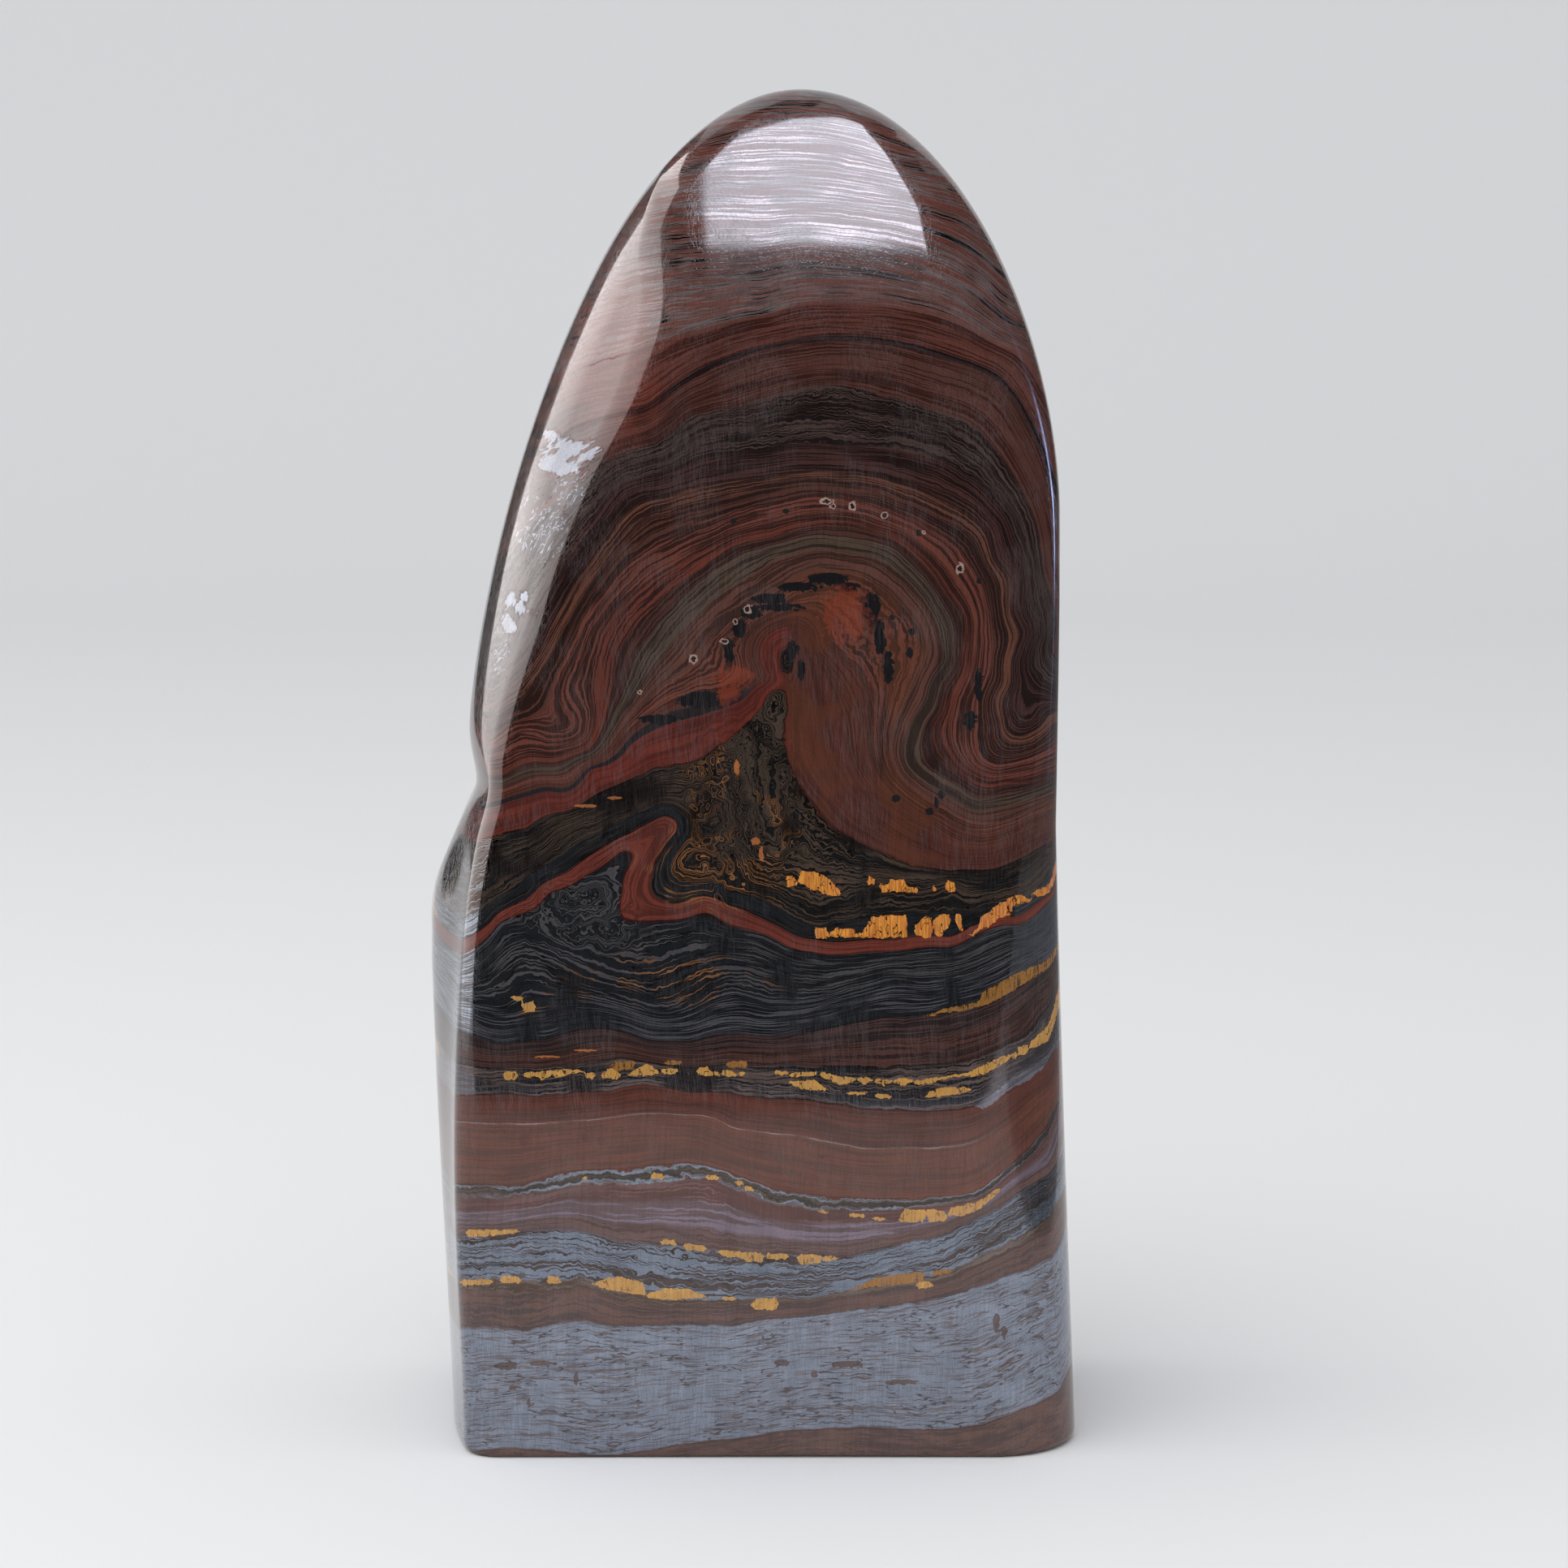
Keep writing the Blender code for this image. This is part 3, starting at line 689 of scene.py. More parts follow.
lowSeams = {
    "blue": [(1008, 1493, 1493), (1013, 1490, 1495), (1020, 1493, 1495), (1024, 1495, 1495),
             (1044, 1497, 1497), (1048, 1495, 1500), (1064, 1496, 1500), (1067, 1499, 1499),
             (1074, 1500, 1500), (1078, 1499, 1505), (1088, 1500, 1505), (1092, 1502, 1502),
             (1106, 1504, 1504), (1115, 1490, 1506), (1138, 1490, 1506), (1141, 1492, 1497),
             (1145, 1490, 1506), (1163, 1491, 1505), (1169, 1498, 1498), (1172, 1488, 1499),
             (1188, 1484, 1498), (1203, 1481, 1492), (1216, 1473, 1482), (1230, 1463, 1469),
             (1234, 1464, 1464)],
    "blueLeft": [(716, 1452, 1452), (720, 1449, 1455), (724, 1452, 1452), (801, 1450, 1450),
                 (806, 1445, 1453), (816, 1446, 1454), (819, 1450, 1450), (868, 1450, 1450),
                 (873, 1447, 1454), (883, 1448, 1455), (886, 1452, 1452), (905, 1457, 1457),
                 (909, 1454, 1461), (914, 1456, 1461), (917, 1462, 1462), (920, 1461, 1467),
                 (927, 1463, 1468), (930, 1466, 1466)],
    "top": [(572, 1519, 1519), (577, 1514, 1524), (600, 1515, 1524), (638, 1515, 1519), (642, 1518, 1518),
            (812, 1530, 1530), (818, 1526, 1534), (832, 1528, 1535), (836, 1534, 1534), (841, 1536, 1536),
            (846, 1531, 1541), (868, 1535, 1542), (872, 1540, 1540), (885, 1543, 1543), (890, 1539, 1548),
            (910, 1542, 1550), (920, 1542, 1555), (938, 1544, 1555), (943, 1549, 1549), (947, 1544, 1552),
            (969, 1545, 1552), (973, 1549, 1549), (982, 1550, 1550), (988, 1545, 1559), (1010, 1546, 1556),
            (1014, 1552, 1552), (1018, 1546, 1555), (1032, 1549, 1552), (1036, 1551, 1551)],
    "foot": [(566, 1580, 1580), (572, 1576, 1584), (604, 1576, 1583), (608, 1580, 1580), (614, 1577, 1577),
             (620, 1572, 1581), (638, 1573, 1581), (643, 1578, 1578), (672, 1578, 1578), (676, 1571, 1582),
             (689, 1573, 1582), (693, 1580, 1580), (728, 1582, 1582), (745, 1575, 1588), (765, 1573, 1592),
             (778, 1576, 1594), (792, 1580, 1596), (796, 1595, 1595), (800, 1592, 1600), (822, 1587, 1602),
             (848, 1588, 1601), (868, 1595, 1599), (872, 1598, 1598)],
    "footRight": [(888, 1600, 1600), (893, 1597, 1603), (905, 1598, 1603), (908, 1602, 1602),
                  (924, 1608, 1608), (932, 1600, 1614), (955, 1599, 1614), (960, 1606, 1606),
                  (1128, 1584, 1584), (1133, 1579, 1588), (1146, 1578, 1587), (1150, 1584, 1584)],
    "specks": [(629, 1230, 1230), (634, 1226, 1233), (643, 1228, 1233), (646, 1236, 1248),
               (658, 1233, 1247), (661, 1240, 1240)],
}
beadSeams = {
    "left": [(619, 1324, 1324), (622, 1319, 1331), (635, 1320, 1332), (638, 1326, 1326), (644, 1324, 1324),
             (647, 1321, 1328), (664, 1320, 1327), (668, 1318, 1332), (682, 1318, 1324), (685, 1318, 1328),
             (700, 1317, 1325), (720, 1319, 1321), (723, 1322, 1328), (729, 1320, 1330), (734, 1325, 1325),
             (740, 1325, 1325), (744, 1319, 1329), (752, 1316, 1330), (762, 1320, 1330), (766, 1326, 1326),
             (772, 1325, 1325), (780, 1319, 1326), (797, 1310, 1326), (808, 1317, 1325), (811, 1322, 1322),
             (814, 1319, 1319), (817, 1316, 1324), (832, 1316, 1324), (835, 1320, 1320)],
    "middle": [(858, 1320, 1320), (862, 1315, 1325), (870, 1314, 1326), (878, 1320, 1326),
               (880, 1324, 1324), (882, 1320, 1326), (887, 1321, 1326), (889, 1324, 1324),
               (891, 1318, 1326), (899, 1318, 1327), (907, 1322, 1327), (909, 1325, 1325),
               (912, 1320, 1327), (917, 1320, 1325), (919, 1322, 1322), (955, 1321, 1321),
               (958, 1319, 1325), (968, 1320, 1325), (971, 1324, 1324), (975, 1321, 1328),
               (1006, 1320, 1325), (1009, 1322, 1322)],
    "right": [(1010, 1324, 1324), (1014, 1321, 1328), (1034, 1326, 1336), (1044, 1326, 1336),
              (1052, 1328, 1332), (1055, 1331, 1331), (1058, 1327, 1333), (1066, 1327, 1337),
              (1073, 1328, 1332), (1077, 1332, 1332), (1080, 1329, 1335), (1090, 1329, 1339),
              (1099, 1330, 1334), (1101, 1333, 1333), (1103, 1329, 1336), (1114, 1328, 1338),
              (1124, 1329, 1333), (1126, 1333, 1333), (1128, 1331, 1337), (1145, 1328, 1336),
              (1166, 1326, 1329), (1190, 1322, 1326), (1194, 1324, 1324)],
    "rise": [(1190, 1323, 1323), (1198, 1319, 1328), (1212, 1312, 1324), (1232, 1303, 1314),
             (1242, 1299, 1307), (1245, 1299, 1303), (1251, 1296, 1306), (1253, 1300, 1300),
             (1255, 1289, 1302), (1265, 1287, 1299), (1268, 1292, 1292), (1271, 1283, 1292),
             (1282, 1273, 1289), (1294, 1259, 1281), (1302, 1246, 1270), (1308, 1234, 1260)],
    "low": [(1040, 1347, 1347), (1046, 1345, 1349), (1068, 1345, 1349), (1071, 1348, 1348),
            (1077, 1350, 1350), (1080, 1347, 1353), (1095, 1348, 1354), (1098, 1351, 1351),
            (1140, 1352, 1352), (1146, 1345, 1353), (1157, 1340, 1352), (1176, 1339, 1349),
            (1194, 1340, 1345), (1198, 1343, 1343)],
    "lens": [(970, 1334, 1334), (976, 1332, 1337), (988, 1331, 1342), (1004, 1331, 1344),
             (1018, 1340, 1344), (1022, 1342, 1342)],
}
dullSeams = {
    "strip": [(1130, 1252, 1252), (1150, 1248, 1252), (1163, 1242, 1248), (1186, 1238, 1246),
              (1207, 1233, 1240), (1210, 1222, 1240), (1231, 1211, 1231), (1266, 1193, 1210),
              (1284, 1186, 1198), (1302, 1176, 1188)],
    "above": [(750, 1314, 1314), (757, 1308, 1320), (780, 1306, 1318), (784, 1311, 1311),
              (818, 1310, 1310), (823, 1306, 1313), (837, 1306, 1312), (840, 1309, 1309),
              (893, 1312, 1312), (898, 1307, 1316), (918, 1307, 1316), (921, 1312, 1312)],
    "low": [(1040, 1592, 1592), (1074, 1576, 1586), (1100, 1571, 1584), (1135, 1566, 1580),
            (1138, 1574, 1574), (1146, 1570, 1570), (1152, 1566, 1572), (1170, 1563, 1569),
            (1174, 1567, 1567)],
}
lavenderSeam = [(1200, 1364, 1364), (1212, 1354, 1368), (1230, 1342, 1356), (1245, 1330, 1342),
                (1268, 1316, 1332), (1288, 1302, 1313), (1300, 1292, 1302)]

# Spots on the photograph: the place, and the reach across and down, in its pixels.
darkPatches = [(1021, 713, 21, 7), (985, 723, 24, 5), (948, 738, 20, 6), (926, 754, 12, 7),
               (911, 774, 8, 9), (898, 800, 6, 14), (1048, 723, 11, 5), (1074, 750, 10, 18),
               (1084, 785, 6, 20), (1095, 822, 6, 19), (975, 803, 6, 13), (987, 826, 4, 12),
               (862, 862, 24, 9), (812, 886, 22, 5), (960, 748, 26, 4), (1206, 845, 5, 17),
               (1195, 888, 7, 10)]
goldFlecks = [(908, 945, 3.5, 9), (757, 983, 9, 2), (722, 993, 14, 2), (930, 1037, 5, 5),
              (938, 1052, 3, 9), (674, 1302, 14, 1.2), (720, 1294, 14, 1.2)]
brownLenses = [(624, 1683, 14, 4), (668, 1680, 15, 3), (962, 1679, 8, 4), (1044, 1681, 19, 4),
               (1112, 1703, 20, 3), (1004, 1693, 5, 4), (1228, 1630, 4, 11), (1237, 1642, 3, 8),
               (633, 1710, 6, 3), (652, 1729, 2.5, 6), (710, 1698, 2, 8), (639, 1626, 12, 5)]
jasperDots = [(577, 1396, 4, 5), (721, 1401, 5, 4), (740, 1404, 4, 4), (645, 1404, 6, 7),
              (1015, 1425, 5, 3)]
orangePatches = [(904, 835, 20, 12), (898, 857, 11, 13), (1042, 756, 24, 26)]
silverPatches = [(702, 556, 30, 13), (684, 578, 28, 11), (668, 546, 18, 8), (632, 752, 26, 11),
                 (618, 776, 20, 11), (642, 738, 13, 7)]
veinPatches = [(655, 655, 52, 40), (700, 604, 34, 22), (606, 810, 20, 30)]
# pits whose holes are painted black as shade, then pits with a painted pale highlight round a painted dark
# hole
shadedPits = [(1123, 778, 4, 4), (1121, 804, 4, 6), (1099, 761, 3, 3), (1103, 984, 6, 5), (1160, 979, 5, 5),
        (1154, 989, 3, 6), (1145, 1000, 5, 4), (904, 641, 4, 3), (968, 630, 4, 3), (1132, 657, 3, 4),
        (1206, 716, 3, 3)]
highlightRimmedPits = [(1019, 618, 7, 4), (1026, 624, 4, 3), (1050, 624, 4, 6), (1090, 635, 4, 4), (1138, 656, 3, 3),
            (1183, 700, 5, 6), (854, 812, 6, 6), (788, 853, 3, 3), (921, 750, 5, 6), (906, 766, 3, 4),
            (892, 790, 5, 3)]


def toneOf(name):
    return fromScreen(*tones[name])


def bedRamp(bed, colours, iron=False):
    # One colour a bed, as a few ramps end to end, each over its own beds, because a ramp holds 32 stops.
    # Where haematite ends, the tone changes on its side and the iron beyond, so that no pale fringe stands
    # between.
    feet = (rock["lowestBed"], *bedTops[:-1])
    fades = [min(rock["soft"], (top - foot) * rock["softShare"]) for foot, top in zip(feet, bedTops)]
    starts, ends = [feet[0]], []
    for i in range(1, len(feet)):
        fade = min(fades[i - 1], fades[i])
        below = (mainIrons[i - 1] > mainIrons[i]) != iron
        ends.append(feet[i] - fade if below else feet[i])
        starts.append(feet[i] if below else feet[i] + fade)
    ends.append(bedTops[-1])
    join = rock["join"]
    result = None
    for first in range(0, len(feet), rock["perRamp"]):
        part = slice(first, first + rock["perRamp"])
        low, high = feet[first], bedTops[part][-1]
        stops = []
        for start, end, colour in zip(starts[part], ends[part], colours[part]):
            stops.append(((start - low) / (high - low), colour))
            stops.append(((end - low) / (high - low), colour))
        ramp = bed.node("ValToRGB", {"stops": stops}, {0: (bed - low) * (1.0 / (high - low))})
        result = ramp if result is None else bed.rise(low - join, low + join).blend(result, ramp)
    return result


def lay(look, mask, tone, iron, share=1.0):
    # a patch of another mineral, or of painted shade or highlight, over what is there, its tone first and then
    # its haematite, or the other way round where the patch is haematite, for the same reason
    toneMask = mask.spread(0.0, 0.5, 0.0, share)
    ironMask = mask.spread(0.5, 1.0, 0.0, share)
    if iron > 0.5:
        toneMask, ironMask = ironMask, toneMask
    look["colour"] = toneMask.blend(look["colour"], tone)
    look["iron"] = look["iron"] * (1.0 - ironMask) + ironMask * iron


def seam(px, py, points):
    # 1 between a strip's two edges
    top = px.profile([(at, high) for at, high, _ in points])
    bottom = px.profile([(at, low) for at, _, low in points])
    return (py - top).rise(0.0, rock["edge"]) * (bottom - py).rise(0.0, rock["edge"])


def anyOf(masks):
    result = masks[0]
    for mask in masks[1:]:
        result = result.math("MAXIMUM", result, mask)
    return result


def nearestSpot(picture, places, share=1.0):
    # distance from the nearest ellipse's middle, as a share of its reach
    nearest = None
    for x, y, reachX, reachY in places:
        stretch = (1.0 / (reachX * share), 1.0 / (reachY * share), 0.0)
        shift = (-x * stretch[0], -y * stretch[1], 0.0)
        inputs = {0: picture, 1: stretch, 2: shift}
        turned = picture.node("VectorMath", {"operation": "MULTIPLY_ADD"}, inputs)
        away = picture.node("VectorMath", {"operation": "LENGTH"}, {0: turned}, out=1)
        nearest = away if nearest is None else away.math("MINIMUM", away, nearest)
    return nearest


def spots(picture, rag, places, share=1.0, soft=0.15):
    # 1 inside any of the ellipses, whose edges a noise pulls in and out
    return 1.0 - (nearestSpot(picture, places, share) + rag).rise(1.0 - soft, 1.0 + soft)


def startingWires(tree):
    # what every layer starts from: the place in millimetres, the bed, and the spot on the photograph
    here = SimpleNamespace(wire=Wire(tree))
    metres = here.wire.node("TexCoord", {}, {}, out=3)
    here.place = metres.times(millimetres, millimetres, millimetres)
    here.bed = here.wire.node("Attribute", {"attribute_name": "bed"}, {}, out=2)
    here.picture = here.wire.node("Attribute", {"attribute_name": "picture"}, {}, out=1)
    here.px, here.py, hidden = here.picture.parts()
    here.across, here.back, here.up = here.place.parts()
    here.front = 1.0 - hidden.rise(*rock["seen"])
    return here


# noises over millimetres, and how far each bends the beds
waves = {
    "smallScale": 0.55,
    "smallBend": 2.2,
    "finerScale": 1.6,
    "finerBend": 1.3,
    "swayScale": 0.17,
    "swayBend": 0.5,
}


def bendBeds(here):
    # crinkles and small waves, stronger in some beds than in others
    rows = [(crinkle, fineness, 0.0, 1.0) for crinkle, fineness in zip(crinkles, finenesses)]
    crinkle, here.fineness, _ = bedRamp(here.bed, rows).parts()
    here.small = here.place.noise(waves["smallScale"], detail=1.0) - 0.5
    here.finer = here.place.noise(waves["finerScale"], detail=1.0) - 0.5
    here.sway = here.place.noise(waves["swayScale"])
    crinkled = crinkle * (here.small * waves["smallBend"] + here.finer * waves["finerBend"])
    here.bent = here.bed + crinkled + (here.sway - 0.5) * waves["swayBend"]


threadLook = {
    "slowSmall": 3.0,  # how far the noises bend the threads where the beds turn too slowly
    "slowFiner": 1.2,
    "slowSoft": 0.6,
    "lowBeds": (16.0, 18.0),  # below these beds the threads are shorter
    "lowShorter": 1.8,
    "alongX": (0.045, 0.025),  # how the noise is stretched along the beds: across and up, then back and up
    "alongY": (0.05, 0.02),
    "broadClose": 1.5,  # how close the threads stand across the beds
    "broadNoise": (3.0, 0.62),  # detail and roughness
    "fineClose": 7.5,
    "fineNoise": (1.0, 0.6),
    "fineShort": 2.4,
    "fineLeast": 0.30,  # share of the fine noise in every bed, and more of it in beds with fine threads
    "fineMore": 0.55,
    "shareGain": 0.30,
    "edge": (0.445, 0.555),
    "faintest": 0.6,
    "faintClouds": (0.38, 0.56),
}


def drawThreads(here):
    # fine threads along the beds, from a broad and a fine noise stretched along them
    small, finer, bent = here.small, here.finer, here.bent
    rows = [(*row, 1.0) for row in zip(threadShares, mainIrons, threadIrons)]
    share, mainIron, threadIron = bedRamp(bent, rows, iron=True).parts()
    drawn = bent
    for x, y, reachX, reachY, slopeX, slopeY in rock["slowPlaces"]:
        inside = spots(here.picture, small, [(x, y, reachX, reachY)], soft=threadLook["slowSoft"])
        slope = (here.px - x) * slopeX + (here.py - y) * slopeY
        drawn = drawn + (slope + small * threadLook["slowSmall"] + finer * threadLook["slowFiner"]) * inside
    shortness = 1.0 + (1.0 - bent.rise(*threadLook["lowBeds"])) * threadLook["lowShorter"]
    acrossX, upX = threadLook["alongX"]
    backY, upY = threadLook["alongY"]
    here.alongX = (here.across * acrossX + here.up * upX) * shortness
    here.alongY = (here.back * backY + here.up * upY) * shortness
    short = threadLook["fineShort"]
    broadPlace = here.wire.together(here.alongX, here.alongY, drawn * threadLook["broadClose"])
    finePlace = here.wire.together(here.alongX * short, here.alongY * short, drawn * threadLook["fineClose"])
    here.broad = broadPlace.noise(1.0, *threadLook["broadNoise"])
    here.fine = finePlace.noise(1.0, *threadLook["fineNoise"])
    fineShare = threadLook["fineLeast"] + here.fineness * threadLook["fineMore"]
    threads = here.broad + (here.fine - here.broad) * fineShare
    threads = (threads + (share - 0.5) * threadLook["shareGain"]).rise(*threadLook["edge"])
    faintest = threadLook["faintest"]
    threads = threads * (faintest + here.sway.rise(*threadLook["faintClouds"]) * (1.0 - faintest))
    # the tone changes first and the haematite after it, so that no pale fringe stands between the two
    bedTone = bedRamp(bent, [fromScreen(*tone) for tone in mainTones])
    threadTone = bedRamp(bent, [fromScreen(*tone) for tone in threadTones])
    return {
        "colour": threads.spread(0.0, 0.5, 0.0, 1.0).blend(bedTone, threadTone),
        "iron": mainIron + (threadIron - mainIron) * threads.spread(0.5, 1.0, 0.0, 1.0),
    }


# beds are a lowest and a highest millimetre and how soft, ends are pixels across the photograph
redBeds = {
    "foldEnd": (958.0, 978.0),
    "brick": (67.5, 71.6, 0.12),
    "brickClouds": (0.40, 0.60),
    "line": (71.6, 72.9, 0.2),
    "lineEnd": (905.0, 935.0),
    "rusty": (67.6, 76.0, 0.3),
    "rustClouds": (0.46, 0.62),
    "pale": (34.4, 0.10),
    "paleLeast": 0.3,
    "paleEnd": (1150.0, 1230.0),
    "gilt": (49.5, 67.2, 0.3),
    "giltThreads": (0.56, 0.62),
    "giltClouds": (0.56, 0.44),
    "giltSoft": 0.4,
}


def layRedBeds(here, look):
    # brick red left of the fold, with a black line over it
    bent = here.bent
    leftOfFold = 1.0 - here.px.rise(*redBeds["foldEnd"])
    brick = bent.within(*redBeds["brick"]) * leftOfFold
    brickTone = here.broad.rise(*redBeds["brickClouds"]).blend(toneOf("darkBrick"), toneOf("brick"))
    lay(look, brick, brickTone, *cover["brick"])
    line = bent.within(*redBeds["line"]) * (1.0 - here.px.rise(*redBeds["lineEnd"]))
    lay(look, line, toneOf("slate"), *cover["blackLine"])

    # rusty clouds in the red mass right of the fold, and one pale line in the jasper low down
    mass = bent.within(*redBeds["rusty"]) * (1.0 - leftOfFold)
    lay(look, mass * here.sway.rise(*redBeds["rustClouds"]), toneOf("rust"), *cover["rust"])
    pale = bent.near(*redBeds["pale"]) * (redBeds["paleLeast"] + here.small)
    pale = pale * (1.0 - here.px.rise(*redBeds["paleEnd"]))
    look["colour"] = pale.blend(look["colour"], toneOf("paleLine"))

    # golden brown threads in the fold's core and in the laminated bed's small folds
    gilt = here.fine.rise(*redBeds["giltThreads"]) * here.sway.rise(*redBeds["giltClouds"])
    gilt = gilt * spots(here.picture, here.small, rock["giltPlaces"], soft=redBeds["giltSoft"])
    lay(look, gilt * bent.within(*redBeds["gilt"]), toneOf("brownGold"), *cover["gilt"])


# how ragged the placed patches are: noise scales, and how far the noise moves them, in pixels
patchLook = {
    "scale": 1.2,
    "scaleDown": 1.9,
    "rough": 0.6,
    "move": (9.0, 7.0),
    "fleckMove": (4.0, 4.0),
    "darkReach": 1.1,
    "dotRag": 1.5,
    "orangeRag": 2.0,
    "orangeSoft": 0.4,
    "crackAlong": 1.4,
    "crackClose": 1.3,
    "crackNoise": (2.0, 0.6),
    "crack": (0.5, 0.02),
    "crackClouds": (0.40, 0.54),
    "crackTop": (24.0, 24.4),
}


def layPatches(here, look):
    # ragged coordinates for what was read at a place on the photograph
    here.wobble = here.place.noise(patchLook["scale"], 2.0, patchLook["rough"]) - 0.5
    here.wobbleDown = here.place.noise(patchLook["scaleDown"], 2.0, patchLook["rough"]) - 0.5
    moveX, moveY = patchLook["move"]
    here.ragged = here.picture.moved(here.wobble * moveX, here.wobbleDown * moveY)
    here.rx, here.ry, _ = here.ragged.parts()
    here.rag = here.wobble + here.wobbleDown
    dark = spots(here.ragged, here.rag, darkPatches, patchLook["darkReach"])
    lay(look, dark * here.front, toneOf("black"), *cover["dark"])
    lay(look, spots(here.ragged, here.rag, brownLenses) * here.front, toneOf("brown"), *cover["lens"])
    dots = spots(here.ragged, here.rag * patchLook["dotRag"], jasperDots)
    lay(look, dots * here.front, toneOf("darkBrick"), *cover["dot"])
    orangeRag = here.rag * patchLook["orangeRag"]
    orange = spots(here.ragged, orangeRag, orangePatches, soft=patchLook["orangeSoft"])
    lay(look, orange * here.front, toneOf("orangeRed"), *cover["orange"])

    # thin dark cracks along the big grey band and the striped one
    along, close = patchLook["crackAlong"], patchLook["crackClose"]
    crackPlace = here.wire.together(here.alongX * along, here.alongY * along, here.bent * close)
    crack = crackPlace.noise(1.0, *patchLook["crackNoise"]).near(*patchLook["crack"])
    below = 1.0 - here.bent.rise(*patchLook["crackTop"])
    crack = crack * here.sway.rise(*patchLook["crackClouds"]) * below
    lay(look, crack, toneOf("crack"), *cover["crack"])


tigersEye = {
    "fibre": (0.45, 3.0, 0.03),  # the noise's stretch across, back and down
    "fibreNoise": (2.0, 0.6),
    "slit": (0.12, 0.05),
    "slitNoise": (1.0, 0.6),
    "slitLine": (0.42, 0.022),
    "slitDark": 0.8,
    "beadEdge": (0.0, 0.5),
    "chips": (0.32, 0.32, 0.10),
    "chipEdge": (0.55, 0.60),
    "backBlocks": (58.4, 60.4, 0.1),
    "backBeads": (41.1, 42.3, 0.1),
    "beadGaps": 0.8,
    "pink": (0.22, 0.22, 0.05),
    "pinkClouds": (0.56, 0.64),
    "deepFibre": (0.62, 0.40),
    "beadDeep": 0.35,
    "dullFibre": (0.31, 0.50),
}


def anySeam(here, groups):
    return anyOf([seam(here.rx, here.ry, points) for group in groups for points in group.values()])


def layTigersEye(here, look):
    # seams read on the photograph in front, scattered blocks in the same beds further back
    fibreX, fibreY, fibreZ = tigersEye["fibre"]
    slitX, slitZ = tigersEye["slit"]
    fibrePlace = here.wire.together(here.px * fibreX, here.back * fibreY, here.py * fibreZ)
    fibre = fibrePlace.noise(1.0, *tigersEye["fibreNoise"])
    slitPlace = here.wire.together(here.px * slitX, here.back, here.py * slitZ)
    slit = slitPlace.noise(1.0, *tigersEye["slitNoise"]).near(*tigersEye["slitLine"])
    whole = here.front * (1.0 - slit * tigersEye["slitDark"])
    blocks = anySeam(here, [goldSeams]) * whole
    beads = anySeam(here, [beadSeams, lowSeams]).rise(*tigersEye["beadEdge"]) * whole
    chips = here.place.times(*tigersEye["chips"]).cells("F1", 1).parts()[0].rise(*tigersEye["chipEdge"])
    rear = 1.0 - here.front
    backBlocks = here.bent.within(*tigersEye["backBlocks"]) * chips * rear
    backBeads = here.bent.within(*tigersEye["backBeads"]) * (1.0 - chips * tigersEye["beadGaps"]) * rear
    pinkish = here.place.times(*tigersEye["pink"]).noise(1.0, detail=1.0).rise(*tigersEye["pinkClouds"])
    deep = fibre.rise(*tigersEye["deepFibre"])
    goldTone = deep.blend(pinkish.blend(toneOf("gold"), toneOf("pinkGold")), toneOf("orangeGold"))
    lay(look, anyOf([blocks, backBlocks]), goldTone, *cover["gold"])
    beadTone = (deep * tigersEye["beadDeep"]).blend(toneOf("beadGold"), toneOf("beadBrown"))
    lay(look, anyOf([beads, backBeads]), beadTone, *cover["bead"])
    moveX, moveY = patchLook["fleckMove"]
    fleckPlace = here.picture.moved(here.wobble * moveX, here.wobbleDown * moveY)
    flecks = spots(fleckPlace, here.rag, goldFlecks) * here.front
    lay(look, flecks, toneOf("orangeGold"), *cover["fleck"])
    dull = anySeam(here, [dullSeams]) * here.front * fibre.rise(*tigersEye["dullFibre"])
    lay(look, dull, toneOf("oliveGold"), *cover["dull"])
    lay(look, seam(here.rx, here.ry, lavenderSeam) * here.front, toneOf("silver"), *cover["lavender"])


facetLook = {
    "vein": (0.30, 0.14, 0.9),  # the noise's stretch across, back and over the beds
    "veinNoise": (3.0, 0.7),
    "veinLine": (0.5, 0.022),
    "veinSoft": 0.4,
    "patchRag": 4.0,
    "patchSoft": 0.3,
    "warmSoft": 0.6,
    "warmShare": 0.3,
}


def laySilver(here, look):
    # silver patches and veins on the slanting facet, and its warmer jasper
    veinX, veinY, veinBed = facetLook["vein"]
    veinPlace = here.wire.together(here.across * veinX, here.back * veinY, here.bent * veinBed)
    vein = veinPlace.noise(1.0, *facetLook["veinNoise"])
    patchRag = (vein - 0.5) * facetLook["patchRag"]
    patches = spots(here.ragged, patchRag, silverPatches, soft=facetLook["patchSoft"])
    veins = spots(here.ragged, here.rag, veinPatches, soft=facetLook["veinSoft"])
    veins = veins * vein.near(*facetLook["veinLine"])
    lay(look, anyOf([patches, veins]) * here.front, toneOf("dimSilver"), *cover["silver"])
    warm = spots(here.picture, here.small, [rock["warmFacet"]], soft=facetLook["warmSoft"]) * here.front
    warm = warm * (1.0 - look["iron"]) * facetLook["warmShare"]
    look["colour"] = warm.blend(look["colour"], toneOf("warmJasper"))


# the rim is a painted highlight on the pit's edge, and the hole is painted shade
pitLook = {
    "rag": 1.6,
    "rimHighlight": (0.85, 1.15),  # shares of a pit's reach over which its rim and its hole fade
    "hole": (0.45, 0.60),
}


